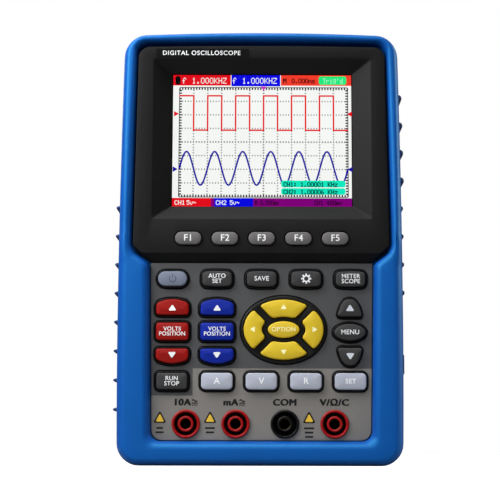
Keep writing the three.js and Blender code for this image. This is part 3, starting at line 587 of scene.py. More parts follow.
def lettering(text, cap, u=0.0, v=0.0, h=0.0, bold=0.0, spacing=1.0, depth=0.1):
    """Raised letters, centred on a point. cap is the height of a capital letter."""
    curve = bpy.data.curves.new("lettering", "FONT")
    curve.body = text
    curve.size = cap / 0.72
    curve.align_x = "CENTER"
    curve.align_y = "CENTER"
    curve.space_character = spacing
    curve.space_line = 0.86
    curve.resolution_u = 4
    curve.extrude = depth / 2
    curve.offset = bold
    return from_object(bpy.data.objects.new("lettering", curve)).at(u, v, h - depth / 2)


def mark(corners, h, depth=0.1):
    """A raised flat mark with round corners."""
    return prism(outline(corners, 3), h - depth, h)


def ribbon(points, width, back, front):
    """A flat line of one width along a run of points."""
    sides = []
    for i, p in enumerate(points):
        before = points[max(i - 1, 0)]
        after = points[min(i + 1, len(points) - 1)]
        first = (p - before).normalized() if i else (after - p).normalized()
        second = (after - p).normalized() if i + 1 < len(points) else first
        along = (first + second).normalized()
        reach = width / 2 / max(along.dot(second), 0.35)
        across = Vector((-along.y, along.x)) * reach
        sides.append((p + across, p - across))
    edge = [side[0] for side in sides] + [side[1] for side in reversed(sides)]
    count = len(points)
    solid = Solid(ring_at(edge, back) + ring_at(edge, front))
    last = 2 * count - 1
    for base, flip in ((0, True), (2 * count, False)):
        for i in range(count - 1):
            face = [base + last - i, base + last - i - 1, base + i + 1, base + i]
            solid.faces.append(face[::-1] if flip else face)
    for i in range(2 * count):
        j = (i + 1) % (2 * count)
        solid.faces.append([i, j, 2 * count + j, 2 * count + i])
    return solid.outward()


def slab(left, foot, right, top, back, front, radius=0.0):
    """A box, with upright edges rounded where a radius is given."""
    corners = [(left, foot, radius), (right, foot, radius), (right, top, radius), (left, top, radius)]
    return prism(outline(corners, 4), back, front)


# ---- Case -----------------------------------------------------------------------------------------

front_box = Box("front_shell")
rear_box = Box("rear_shell")
bezel_box = Box("display_bezel")
panel_box = Box("control_panel")

HALF_WIDTH = front_box.right
WIDEST_Z = 62.0
TAPER_TOP, TAPER_FOOT = 1.3, 0.6
TOP_ARCH = 1.6
CASE_CORNER = 9.5
WALL = 2.2
PARTING = rear_box.front  # the plane where the two shells meet
FACE = front_box.front
PANEL_FOOT_HALF, PANEL_TOP_HALF = 43.9, 45.1
PANEL_CORNER = 4.1
BEZEL_TOP_HALF, BEZEL_FOOT_HALF = 50.7, 52.1
BEZEL_CORNER = 4.6
BEZEL_ARCH = 0.5
RECESS_SIDE, RECESS_TOP = 0.5, 1.9  # groove between the case and the bezel
SHOULDER_LOW, SHOULDER_HIGH = (80.9, 3.5), (86.4, 6.0)  # height and radius of the slanted shoulder's ends
LEDGE_FRONT, LEDGE_BACK = 12.7, 10.8
ARC_STEPS, EDGE_SPLITS = 8, 10


def case_outline(side, foot, top):
    """The case's outline, drawn in by amounts at its sides, its foot and its top."""
    edge = HALF_WIDTH - side
    head = front_box.top - TOP_ARCH - top
    corner = CASE_CORNER - min(side, CASE_CORNER / 2)
    right = [(edge, foot, corner), (edge, 72, 3), (edge, 90, 3), (edge, head, corner)]
    points = mirrored(right, ARC_STEPS, EDGE_SPLITS)
    for p in points:
        if p.y > WIDEST_Z:
            taper = TAPER_TOP * ((p.y - WIDEST_Z) / (head - WIDEST_Z)) ** 2
        else:
            taper = TAPER_FOOT * ((WIDEST_Z - p.y) / WIDEST_Z) ** 2
        p.x *= (edge - taper) / edge
        if p.y > WIDEST_Z:
            p.y += TOP_ARCH * (1 - min(abs(p.x) / edge, 1) ** 2)
    return points


def recess_outline(grow):
    """The opening in the case's front, round the bezel and the panel."""
    beside, below, above = RECESS_SIDE + grow, CLEAR + grow, RECESS_TOP + grow

    def corners(side):
        return [
            (FRONT_X + side * (PANEL_FOOT_HALF + below), panel_box.foot - below, PANEL_CORNER),
            (FRONT_X + side * (PANEL_TOP_HALF + below), SHOULDER_LOW[0] - grow / 2, SHOULDER_LOW[1]),
            (BEZEL_X + side * (BEZEL_FOOT_HALF + beside), SHOULDER_HIGH[0] - grow / 2, SHOULDER_HIGH[1]),
            (BEZEL_X + side * (BEZEL_TOP_HALF + beside), bezel_box.top - BEZEL_ARCH + above, BEZEL_CORNER),
        ]

    return arched(outline(corners(1) + corners(-1)[::-1], ARC_STEPS, EDGE_SPLITS))


def arched(points):
    """Raises the middle of the bezel's top edge, and of the edge round it."""
    for p in points:
        if p.y > bezel_box.v:
            p.y += BEZEL_ARCH * (1 - min(abs(p.x) / BEZEL_TOP_HALF, 1) ** 2)
    return points


def ledge_outline():
    half = 44.1
    right = [(half, 10.9, 1), (half, 79, 2), (half, 86, 2), (half, 168.6, 1)]
    return moved(mirrored(right, ARC_STEPS, EDGE_SPLITS), FRONT_X, 0)


def nearest(point, others):
    return min((point - other).length for other in others)


def part_way(start, end, room, share):
    """Moves each point of one outline towards another's, but by no more than its share of the room there."""
    points = []
    for p, q, space in zip(start, end, room):
        whole = (q - p).length
        points.append(p.lerp(q, share * min(1.0, space / whole)))
    return points


EDGE_START = 14.2  # where the sides start to round over to the face
EDGE_SIDE, EDGE_FOOT, EDGE_TOP = 4.2, 2.8, 4.2
EDGE_LEAN, TOP_LEAN = 0.65, 1.5  # how far the sides and the top are drawn in there
FLARE, FLARE_DEPTH = 3.3, 4.4  # the round edge of the opening


def front_sides(extra=0.0):
    """Rings of the front half's outside, from the parting plane to the edge of its face."""
    rings = [ring_at(case_outline(0.3 + extra, 0.3 + extra, 0.3 + extra), PARTING)]
    lean = ((PARTING + 0.3, 0.0, 0.0), (0, 0.2, 0.5), (8, 0.4, 1.0), (EDGE_START, EDGE_LEAN, TOP_LEAN))
    for h, side, top in lean:
        rings.append(ring_at(case_outline(side + extra, extra, top + extra), h))
    start = case_outline(EDGE_LEAN + extra, extra, TOP_LEAN + extra)
    end = case_outline(EDGE_LEAN + EDGE_SIDE + extra, EDGE_FOOT + extra, TOP_LEAN + EDGE_TOP + extra)
    opening = recess_outline(0)
    room = [0.5 * nearest(p, opening) for p in start]
    steps = 9
    for k in range(1, steps + 1):
        a = pi / 2 * k / steps
        h = EDGE_START + (FACE - EDGE_START) * sin(a)
        rings.append(ring_at(part_way(start, end, room, 1 - cos(a)), h))
    return rings


def flare_rings():
    """Rings over the round edge of the opening, from the face down to an upright wall."""
    start, end = recess_outline(0), recess_outline(FLARE)
    side = case_outline(EDGE_LEAN, 0, TOP_LEAN)
    room = [0.46 * nearest(p, side) for p in start]
    rings = []
    steps = 9
    for k in range(steps + 1):
        a = pi / 2 * k / steps
        rings.append(ring_at(part_way(start, end, room, 1 - sin(a)), FACE - FLARE_DEPTH * (1 - cos(a))))
    return rings


SCREW_HOLE = 1.65  # radius of the holes that the screws run in


def screw_places():
    """Centres of the four case screws."""
    return [(Box(f"case_screw_{i}").u, Box(f"case_screw_{i}").v) for i in range(1, 5)]


OUTSIDE = 70.0  # past the case's side
GRIP_FRONT, GRIP_BACK = 12.8, -2.8
GRIP_CORNER, GRIP_DEPTH = 2.5, 2.0
GRIP_GAP = 0.05


def grip_space(node, gap):
    """The rounded slot in the side of the case that holds a grip."""
    box = Box(node)
    side = 1 if box.right > 0 else -1
    ends = [-side * (GRIP_FRONT + gap), -side * (GRIP_BACK - gap)]
    inner = HALF_WIDTH - TAPER_TOP - GRIP_DEPTH - gap
    points = outline([
        (min(ends), box.foot - gap, GRIP_CORNER),
        (max(ends), box.foot - gap, GRIP_CORNER),
        (max(ends), box.top + gap, GRIP_CORNER),
        (min(ends), box.top + gap, GRIP_CORNER),
    ])
    return prism(points, inner, OUTSIDE).through(FRONT.inverted() @ (RIGHT if side > 0 else LEFT))


INPUT_BAY = {"foot": 111.0, "top": 163.0, "wall": -45.0, "floor": 6.0, "back": -17.4}
BAY_WALL = 1.8
flap_box = Box("port_cover")
usb_box = Box("usb_port")


def flap_seat():
    """The shallow room in the side of the case that the flap closes into."""
    seat = bowed(flap_box.front - flap_box.back + 2 * CLEAR, flap_box.height + 2 * CLEAR, 1.2)
    middle = -(flap_box.front + flap_box.back) / 2
    solid = prism(moved(seat(), middle, flap_box.v), HALF_WIDTH - 2.4, OUTSIDE)
    return solid.through(FRONT.inverted() @ RIGHT)


def front_shell():
    rings = front_sides()
    rings += [
        *flare_rings(),
        ring_at(recess_outline(0), LEDGE_FRONT),
        ring_at(ledge_outline(), LEDGE_FRONT),
        ring_at(ledge_outline(), LEDGE_BACK),
        ring_at(case_outline(WALL + 0.7, WALL, WALL + 1.4), LEDGE_BACK),
        ring_at(case_outline(WALL, WALL, WALL), PARTING),
    ]
    shell = loft(rings, around=True)
    b = INPUT_BAY
    bay_side = 1.6 - HALF_WIDTH
    rear_bay_side = bay_side + 3  # inside the rear shell's wall
    for left, back, front in ((bay_side, PARTING, b["floor"] + BAY_WALL), (rear_bay_side, b["back"], 0)):
        shell |= slab(left, b["foot"] - BAY_WALL, b["wall"] + BAY_WALL, b["top"] + BAY_WALL, back, front)
    shell -= slab(-OUTSIDE, b["foot"], b["wall"], b["top"], b["back"] - 5, b["floor"])
    for node in ("bnc_ch1", "bnc_ch2"):
        box = Box(node)
        hole = prism(disc(4.4)(), -b["wall"] - 5, -b["wall"] + 5).through(FRONT.inverted() @ LEFT)
        shell -= hole.at(0, box.v, (box.front + box.back) / 2)
    rim = 1.6  # of the block behind the flap
    shell |= slab(HALF_WIDTH - 12, flap_box.foot - rim, HALF_WIDTH - 1.2, flap_box.top + rim,
                  flap_box.back - 1.2, flap_box.front + rim)
    shell -= flap_seat()
    shell -= slab(HALF_WIDTH - 14, usb_box.foot - CLEAR, OUTSIDE, usb_box.top + CLEAR,
                  usb_box.back - CLEAR, usb_box.front + CLEAR)
    for node in ("grip_left", "grip_right"):
        shell -= grip_space(node, GRIP_GAP)
    bore = -2.15
    boss = [(11.5, 0), (PARTING + CLEAR, 0), (PARTING + CLEAR, bore), (5.5, bore)]
    bosses = all_of(tower(placed(disc(3.8), u, v), boss) for u, v in screw_places())
    piece("front_shell_moulding", [(shell, CASE_BLUE), (bosses, CASE_BLUE)], "case",
          ["front_shell"], angle=32)


STAND_RECESS = {"half": 30.6, "foot": 21.6, "top": 122.4, "floor": -16.7}
FINGER_NOTCH = {"half": 10.0, "foot": 13.5, "floor": -14.2}  # below the stand
BATTERY_BAY = {"half": 25.0, "foot": 35.0, "top": 104.0, "floor": -5.4}
TUB_WALL, BATTERY_WALL = 3.2, 1.6
BACK_EDGE = 3.4  # how deep the back's round edge is


def rear_sides():
    """Rings of the rear half's outside, from its back to the parting plane."""
    rings = []
    steps = 7
    for k in range(steps + 1):
        a = pi / 2 * k / steps
        side = 0.5 + BACK_EDGE * 0.8 * (1 - sin(a))
        foot = BACK_EDGE * 0.7 * (1 - sin(a))
        rings.append(ring_at(case_outline(side, foot, side), rear_box.back + BACK_EDGE * (1 - cos(a))))
    rings.append(ring_at(case_outline(0, 0, 0), PARTING - 0.3))
    rings.append(ring_at(case_outline(0.3, 0.3, 0.3), PARTING))
    return rings


def centred(half, foot, top, back, front, radius):
    return slab(-half, foot, half, top, back, front, radius)


def rear_shell():
    back = rear_box.back
    shell = loft([
        *rear_sides(),
        ring_at(case_outline(WALL, WALL, WALL), PARTING),
        ring_at(case_outline(WALL + 1, WALL, WALL + 1), back + WALL),
    ])
    recess, notch, bay = STAND_RECESS, FINGER_NOTCH, BATTERY_BAY
    floor = recess["floor"]
    shell |= centred(recess["half"] + TUB_WALL, notch["foot"] - 2, recess["top"] + 2, back + 1, floor + 2, 3)
    shell |= centred(bay["half"] + BATTERY_WALL, bay["foot"] - BATTERY_WALL, bay["top"] + BATTERY_WALL,
                     floor + 1.9, bay["floor"] + 1.2, 2)
    screw = Box("battery_door_screw")
    shell |= prism(placed(disc(4.2), 0, screw.v)(), floor + 1.9, -6.4)
    for u, v in screw_places():
        shell |= prism(placed(disc(4.4), u, v)(), back + 1, PARTING)
    shell -= centred(recess["half"], recess["foot"], recess["top"], back - 1, floor, 2)
    shell -= centred(notch["half"], notch["foot"], recess["foot"] + 2, back - 1, notch["floor"], 2.5)
    door = Box("battery_door")
    shell -= slab(door.left - CLEAR, door.foot - CLEAR, door.right + CLEAR, door.top + CLEAR, floor - 1,
                  floor + 2.2, 2)
    shell -= centred(bay["half"], bay["foot"], bay["top"], floor - 1, bay["floor"], 1)
    shell -= prism(placed(disc(SCREW_HOLE), 0, screw.v)(), floor - 1, -8.4)
    pivot = prism(disc(1.3)(), -34, 34).through(FRONT.inverted() @ RIGHT)
    shell -= pivot.at(0, Box("kickstand").top - 1.3, -18.3)
    for u, v in screw_places():
        shell -= prism(placed(disc(SCREW_HOLE), u, v)(), back - 1, PARTING + 1)
        shell -= tower(placed(disc(3.2), u, v), [(back - 1, 1.0), (back + 0.3, 0), (back + 3.2, 0)])
    b = INPUT_BAY
    room = BAY_WALL + CLEAR
    shell -= slab(4.2 - HALF_WIDTH, b["foot"] - room, b["wall"] + room, b["top"] + room, back + WALL,
                  PARTING + 1)
    shell -= slab(-OUTSIDE, b["foot"], 8 - HALF_WIDTH, b["top"], back + WALL, PARTING + 1)
    shell -= flap_seat()
    piece("rear_shell_moulding", [(shell, CASE_BLUE)], "case", ["rear_shell"], angle=32)


# ---- Bezel, display and panel ---------------------------------------------------------------------

SCREEN = {"width": 74.7, "foot": 104.95, "top": 160.95}
FUNNEL_SIDE, FUNNEL_LOW, FUNNEL_HIGH = 7.3, 5.8, 5.1
FOOT_SLOPE = 3.4
F_KEYS = [f"key_f{i}" for i in range(1, 6)]
LOW_CUT, FACE_CUT = (7.0, 5.3), (3.8, 3.4)  # how far the lower corners are cut off, across and up


def bezel_outline(foot, inset, cut):
    across, up = cut
    right = [
        (BEZEL_FOOT_HALF - inset - across, foot + inset, SHOULDER_LOW[1]),
        (BEZEL_FOOT_HALF - inset, foot + inset + up, across * 0.8),
        (BEZEL_TOP_HALF - inset, bezel_box.top - BEZEL_ARCH - inset, BEZEL_CORNER),
    ]
    return moved(arched(mirrored(right, ARC_STEPS, EDGE_SPLITS)), BEZEL_X, 0)


def screen_outline(grow, radius):
    half = SCREEN["width"] / 2 + grow * FUNNEL_SIDE
    foot = SCREEN["foot"] - grow * FUNNEL_LOW
    right = [
        (half, foot, radius),
        (half, foot + 4, 1),
        (half, SCREEN["top"] + grow * FUNNEL_HIGH, radius),
    ]
    return moved(mirrored(right, ARC_STEPS, EDGE_SPLITS), FRONT_X, 0)


def display_bezel():
    foot, front, back = bezel_box.foot, bezel_box.front, bezel_box.back
    rings = [
        ring_at(bezel_outline(foot, 0.3, LOW_CUT), back),
        ring_at(bezel_outline(foot, 0, LOW_CUT), back + 0.3),
        ring_at(bezel_outline(foot, 0, LOW_CUT), panel_box.front),
        ring_at(bezel_outline(foot + FOOT_SLOPE - 0.5, 0, FACE_CUT), front - 0.7),
    ]
    for h, grow in over_edge(front, 0.6):
        rings.append(ring_at(bezel_outline(foot + FOOT_SLOPE - 0.4, -grow, FACE_CUT), h))
    rings += [
        ring_at(screen_outline(1.04, 1.2), front),
        ring_at(screen_outline(1.01, 1.1), front - 0.06),
        ring_at(screen_outline(0.97, 1.0), front - 0.25),
        ring_at(screen_outline(0.03, 0.4), back + 0.35),
        ring_at(screen_outline(0, 0.3), back + 0.2),
        ring_at(screen_outline(0, 0.3), back),
    ]
    bezel = loft(rings, around=True)
    holes = []
    for name in F_KEYS:
        box = Box(name)
        hole = placed(pill(box.width, box.height), box.u, box.v)
        levels = [(back - 1, CLEAR), (front - 0.35, CLEAR), (front + 0.4, CLEAR + 0.75)]
        holes.append(tower(hole, levels))
    bezel -= all_of(holes)
    plate = slab(-43.2, 166.4, -4.8, 170.2, front - 0.2, front + 0.1, 0.5)
    title = lettering("DIGITAL OSCILLOSCOPE", 1.9, -24.5, 168.3, front + 0.16, bold=0.02, spacing=1.12)
    parts = [(bezel, BEZEL_BLACK), (plate, PLATE_BLACK), (title, INK_WHITE)]
    piece("display_bezel_moulding", parts, "case", ["display_bezel"])


# Jack, label, its distance across from the jack's middle, and how far it is widened
LABELS = (
    ("10a", "10A", -1.6, 1.1),
    ("ma", "mA", -2.0, 1.1),
    ("com", "COM", 0, 1.1),
    ("volt", "V/Ω/C", 0, 1.15),
)
# Plain yellow triangles beside the jacks: where they are, and the half widths of the bars below them
WARNING_SIGNS = ((-40.1, (1.3, 1.6)), (-20.0, (1.9, 1.6)), (19.6, (2.0, 1.7, 1.6)))


def control_panel():
    front, back, foot, top = panel_box.front, panel_box.back, panel_box.foot, panel_box.top

    def draw(grow):
        right = [
            (PANEL_FOOT_HALF + grow, foot - grow, PANEL_CORNER),
            (PANEL_TOP_HALF + grow, top + grow, 0.5),
        ]
        return moved(mirrored(right, ARC_STEPS, 1), FRONT_X, 0)

    panel = pebble(draw, back, front, edge=0.25, back_edge=0.1, steps=3)
    edge = 0.25
    holes = []
    for shape in [key.collar for key in keys if not key.in_bezel and not key.in_pad] + [pad_rim()]:
        levels = [(back - 1, CLEAR), (front - edge, CLEAR), (front + 0.3, CLEAR + edge + 0.3)]
        holes.append(tower(shape, levels))
    for name in JACKS:
        box = Box(f"jack_{name}")
        holes.append(prism(placed(disc(5.5, 48), box.u, box.v)(), back - 1, front + 1))
    panel -= all_of(holes)
    h = front + 0.05
    label_rise, label_cap = 8.5, 2.6
    strokes = [(-0.24, -0.1), (-0.08, 0.1), (0.08, -0.1), (0.24, 0.1)]  # the offsets that make them heavy
    lines = []
    for name, text, shift, stretch in LABELS:
        box = Box(f"jack_{name}")
        letters = lettering(text, label_cap, 0, 0, h, bold=0, spacing=1.08)
        letters = letters.through(Matrix.Diagonal((stretch, 1, 1))).at(box.u + shift, box.v + label_rise)
        lines += [letters.at(du, dv, 0.004 * k) for k, (du, dv) in enumerate(strokes)]
    for name, shift in (("10a", 3.5), ("ma", 2.6)):
        box = Box(f"jack_{name}")
        lines.append(current_sign(box.u + shift, box.v + label_rise, h))
    signs = []
    for u, rows in WARNING_SIGNS:
        rim = [(u - 2.7, 16.9, 0.5), (u + 2.7, 16.9, 0.5), (u, 21.9, 0.5)]
        inside = [(u - 1.75, 17.4, 0.3), (u + 1.75, 17.4, 0.3), (u, 20.7, 0.3)]
        lines.append(mark(rim, h))
        signs.append(mark(inside, h + 0.03))
        for k, half in enumerate(rows):
            v = 14.9 - 1.7 * k
            lines.append(slab(u - half, v - 0.35, u + half, v + 0.35, h - 0.1, h))
    parts = [(panel, PANEL_GREY), (all_of(lines), INK_BLACK), (all_of(signs), INK_YELLOW)]
    piece("control_panel_plate", parts, "case", ["control_panel"])


def current_sign(u, v, h):
    """The sign for direct and alternating current: a wave over a line and three dashes."""
    wave = [Vector((u - 1.1 + 2.2 * k / 16, v + 0.75 + 0.35 * sin(2 * pi * k / 16))) for k in range(17)]
    parts = [ribbon(wave, 0.5, h - 0.1, h)]
    parts.append(slab(u - 1.2, v - 0.45, u + 1.2, v - 0.02, h - 0.1, h))
    for k in (-1, 0, 1):
        parts.append(slab(u + 0.8 * k - 0.3, v - 1.2, u + 0.8 * k + 0.3, v - 0.8, h - 0.1, h))
    return all_of(parts)


# ---- Picture on the display -----------------------------------------------------------------------

lcd_box = Box("lcd_module")
PICTURE = lcd_box.front + 0.01  # the height where the picture starts, behind the window
LAYER, FILM = 0.045, 0.03  # distance between the picture's layers, and their thickness
COLUMNS, ROWS = 12, 8
GRID = {"left": 3.2, "right": 72.8, "foot": 4.4, "top": 50.4}
BAR_TOP = {"foot": 51.4, "top": 55.85}
BAR_LOW = {"foot": 0.1, "top": 3.85}
WAVES = 6
TRACE = 0.64

# Letters of the display, as seven rows of five dots
GLYPHS = {
    "0": ".###. #...# #...# #...# #...# #...# .###.",
    "1": "..#.. .##.. ..#.. ..#.. ..#.. ..#.. .###.",
    "2": ".###. #...# ....# ...#. ..#.. .#... #####",
    "4": "...#. ..##. .#.#. #..#. ##### ...#. ...#.",
    "5": "##### #.... ####. ....# ....# #...# .###.",
    "6": "..##. .#... #.... ####. #...# #...# .###.",
    "C": ".###. #...# #.... #.... #.... #...# .###.",
    "H": "#...# #...# #...# ##### #...# #...# #...#",
    "K": "#...# #..#. #.#.. ##... #.#.. #..#. #...#",
    "M": "#...# ##.## #.#.# #.#.# #...# #...# #...#",
    "T": "##### ..#.. ..#.. ..#.. ..#.. ..#.. ..#..",
    "Z": "##### ....# ...#. ..#.. .#... #.... #####",
    "d": "....# ....# .##.# #..## #...# #..## .##.#",
    "f": "..##. .#..# .#... ###.. .#... .#... .#...",
    "g": "..... .#### #...# #...# .#### ....# .###.",
    "i": "..#.. ..... .##.. ..#.. ..#.. ..#.. .###.",
    "m": "..... ..... ##.#. #.#.# #.#.# #.#.# #.#.#",
    "n": "..... ..... #.##. ##..# #...# #...# #...#",
    "r": "..... ..... #.##. ##..# #.... #.... #....",
    "s": "..... ..... .#### #.... .###. ....# ####.",
    "v": "..... ..... #...# #...# #...# .#.#. ..#..",
    "z": "..... ..... ##### ...#. ..#.. .#... #####",
    ".": "..... ..... ..... ..... ..... .##.. .##..",
    ":": "..... .##.. .##.. ..... .##.. .##.. .....",
    "~": "..... ..... .#... #.#.# ...#. ..... .....",
    "'": "..#.. ..#.. .#... ..... ..... ..... .....",
    " ": "",
}


def on_screen(solid, level):
    """Moves a flat solid from the screen's own corner to its place on a layer of the picture."""
    return solid.at(FRONT_X - SCREEN["width"] / 2, SCREEN["foot"], PICTURE + LAYER * level)


def tile(left, foot, right, top, level):
    """A lit rectangle. level is 0 for the glass, 1 for the field, and so on."""
    return on_screen(slab(left, foot, right, top, 0, FILM), level)


def dotted(text, u, v, pitch, height, level=4, spread=0.1):
    """Lettering made of dots.

    u is the middle of the first letter, and pitch runs from letter to letter. spread is how far each
    run of dots grows at its ends.
    """
    dot_u, dot_v = pitch / 6, height / 7
    parts = []
    for i, letter in enumerate(text):
        for row, line in enumerate(GLYPHS[letter].split()):
            foot = v + (2.5 - row) * dot_v
            for run in re.finditer("#+", line):
                left = u + i * pitch + (run.start() - 2.5 - spread) * dot_u
                right = u + i * pitch + (run.end() - 2.5 + spread) * dot_u
                parts.append(tile(left, foot - spread * dot_v, right, foot + 0.94 * dot_v, level))
    return all_of(parts)


def graticule():
    """Dotted division lines, and a darker comb of ticks round the border."""
    left, right, foot, top = GRID["left"], GRID["right"], GRID["foot"], GRID["top"]
    pitch_u = (right - left) / COLUMNS / 5
    pitch_v = (top - foot) / ROWS / 5
    fine, dark = [], []
    for i in range(1, COLUMNS * 5):
        for j in range(1, ROWS * 5):
            if i % 5 and j % 5:
                continue
            u, v = left + i * pitch_u, foot + j * pitch_v
            bold = i == COLUMNS * 5 / 2 or j == ROWS * 5 / 2
            half_u, half_v = (0.2, 0.34) if j % 5 == 0 else (0.34, 0.2)
            if not bold:
                half_u, half_v = 0.85 * half_u, 0.85 * half_v
            (dark if bold else fine).append(tile(u - half_u, v - half_v, u + half_u, v + half_v, 2))
    tick, half, line = 0.85, 0.29, 0.3
    for i in range(COLUMNS * 5 + 1):
        u = left + i * pitch_u
        dark.append(tile(u - half, top - tick, u + half, top, 2))
        dark.append(tile(u - half, foot, u + half, foot + tick, 2))
    for j in range(1, ROWS * 5):
        v = foot + j * pitch_v
        dark.append(tile(left, v - half, left + tick, v + half, 2))
        dark.append(tile(right - tick, v - half, right, v + half, 2))
    dark.append(tile(left, top, right, top + line, 2))
    dark.append(tile(left, foot - line, right, foot, 2))
    dark.append(tile(left - line, foot, left, top, 2))
    dark.append(tile(right, foot, right + line, top, 2))
    return all_of(fine), all_of(dark)


def square_trace():
    """Channel 1: a square wave."""
    high, low = 47.0, 32.4
    half = (GRID["right"] - GRID["left"]) / WAVES / 2
    parts = []
    for k in range(2 * WAVES):
        u = GRID["left"] + half * k
        level = low if k % 2 else high
        parts.append(tile(u - TRACE / 2, level - TRACE / 2, u + half + TRACE / 2, level + TRACE / 2, 3))
        if k:
            parts.append(tile(u - TRACE / 2, low + TRACE / 2, u + TRACE / 2, high - TRACE / 2, 3))
    return all_of(parts)


def sine_trace():
    """Channel 2: a sine wave."""
    middle, swing = 16.3, 7.05
    span = GRID["right"] - GRID["left"]
    steps = WAVES * 28
    points = []
    for k in range(steps + 1):
        turn = 2 * pi * WAVES * k / steps
        points.append(Vector((GRID["left"] + span * k / steps, middle + swing * sin(turn - 0.05))))
    return on_screen(ribbon(points, TRACE * 1.1, 0, FILM), 3)


def pointer(u, v, turn, width=2.3, height=2.1):
    corners = [(-width / 2, -height / 2, 0.1), (width / 2, -height / 2, 0.1), (0, height / 2, 0.1)]
    solid = mark(corners, FILM, FILM).through(Matrix.Rotation(turn, 3, "Z"))
    return on_screen(solid.at(u, v), 4)


def rounded_tile(left, foot, right, top, radius, level):
    return on_screen(slab(left, foot, right, top, 0, FILM, radius), level)


def picture():
    spill = 0.6  # how far the glass runs on behind the bezel
    width, height = SCREEN["width"], SCREEN["top"] - SCREEN["foot"]
    left, right = 0.4, 74.4
    top, low = BAR_TOP, BAR_LOW
    text_v, low_text_v = 53.45, 1.95
    fine_dots, dark_dots = graticule()
    readings = [(11.2, 8.4), (8.0, 5.3)]
    red = square_trace() + pointer(1.9, 39.3, -pi / 2) + pointer(73.6, 39.3, pi / 2)
    red += tile(left, top["foot"], 24.3, top["top"], 2) + tile(left, low["foot"], 16.4, low["top"], 3)
    blue = tile(24.6, top["foot"] - 0.3, 44.9, top["top"], 2) + tile(17.8, low["foot"], 33.8, low["top"], 3)
    navy = sine_trace() + pointer(1.6, 15.9, -pi / 2) + pointer(73.7, 15.9, pi / 2)
    white = []
    for u in (5.0, 25.9):
        for letters, start in (("f", u), ("1.000KHZ", u + 4.0)):
            white.append(dotted(letters, start, text_v, 1.83, 2.5, spread=0))
    white += [dotted(f"CH{i + 1}", u, low_text_v, 1.5, 1.9) for i, u in enumerate((2.1, 19.1))]
    white += [dotted("5v~", u, low_text_v, 1.35, 1.9) for u in (7.0, 24.8)]
    teal = []
    for i, (high, foot) in enumerate(readings):
        reading = f"CH{i + 1}: 1.0000{1 + 5 * i} KHz"
        teal.append(dotted(reading, 46.9, (high + foot) / 2 - 0.2, 1.4, 2.0, 5, 0.3))
    plum = dotted("M 0.500ms", 35.0, low_text_v, 1.1, 1.9, spread=0.3)
    plum += dotted("CH1 400mv", 59.4, low_text_v, 1.3, 1.9, spread=0.3)
    maroon = dotted("M", 46.8, text_v, 1.6, 2.1, spread=0.3)
    maroon += dotted("0.000ns", 50.3, text_v, 1.4, 2.0, spread=0.3)
    parts = [
        (tile(-spill, -spill, width + spill, height + spill, 0), LIT_BLACK),
        (tile(left, low["foot"], right, top["top"], 1), LIT_WHITE),
        (fine_dots, LIT_GREY),
        (dark_dots + rounded_tile(1.3, 51.7, 3.4, 55.4, 0.9, 3), LIT_BLACK),
        (red, LIT_RED),
        (blue, LIT_BLUE),
        (navy, LIT_NAVY),
        (tile(45.2, top["foot"], right, top["top"], 2), LIT_ORANGE),
        (maroon, LIT_MAROON),
        (rounded_tile(60.9, 51.8, 72.4, 55.4, 0.9, 3), LIT_GREEN),
        (dotted("Trig'd", 63.2, text_v, 1.42, 2.2), LIT_MINT),
        (all_of(rounded_tile(45.3, foot, 71.8, high, 0.9, 4) for high, foot in readings), LIT_CYAN),
        (all_of(teal), LIT_TEAL),
        (tile(left, low["foot"], right, low["top"], 2), LIT_PURPLE),
        (plum, LIT_PLUM),
        (pointer(38.0, 50.1, pi, 2.4, 1.7), LIT_MAGENTA),
        (all_of(white), LIT_WHITE),
    ]
    piece("display_picture", parts, "case")


# ---- Keys and keypad mat --------------------------------------------------------------------------

COLLAR_WIDTH = 0.75
LEGEND_DEPTH = 0.3  # how far a key's legend reaches down into its top
COLLAR_FRONT = Box("keypad_mat").front
MAT_FRONT = 12.7
KEY_FILLET = 0.55
KEY_CROWN = 0.28
JACKS = ("10a", "ma", "com", "volt")
RING = {"outer_u": 16.1, "outer_v": 12.1, "inner_u": 8.8, "inner_v": 5.2, "gap": 3.0, "cross": 2.1}
pad_box = Box("key_ok")


def quarter(direction):
    """A quarter of the arrow ring: between two ovals and two diagonal gaps, about the ring's centre."""
    sideways = direction in ("left", "right")
    sign = 1 if direction in ("up", "right") else -1

    def limit(half_u, half_v, shift):
        """The angle where an oval meets the diagonal edge of a gap."""
        low, high = 0.0, pi / 2
        for _ in range(30):
            middle = (low + high) / 2
            if half_v * sin(middle) - half_u * cos(middle) + RING["cross"] > shift:
                high = middle
            else:
                low = middle
        return low

    def draw(grow=0.0):
        shift = (RING["gap"] / 2 - grow) * sqrt(2) * (-1 if sideways else 1)
        round_u, round_v = 0.2, 0.3
        unit = outline([(-1, -1, round_v), (1, -1, round_v), (1, 1, round_u), (-1, 1, round_u)], 5, 8)
        points = []
        for p in unit:
            part = (p.y + 1) / 2
            half_u = (RING["inner_u"] - grow) * (1 - part) + (RING["outer_u"] + grow) * part
            half_v = (RING["inner_v"] - grow) * (1 - part) + (RING["outer_v"] + grow) * part
            end = limit(half_u, half_v, shift)
            turn = -end * p.x if sideways else pi / 2 + (pi / 2 - end) * -p.x
            points.append(Vector((half_u * cos(turn), half_v * sin(turn))) * sign)
        return points

    return draw


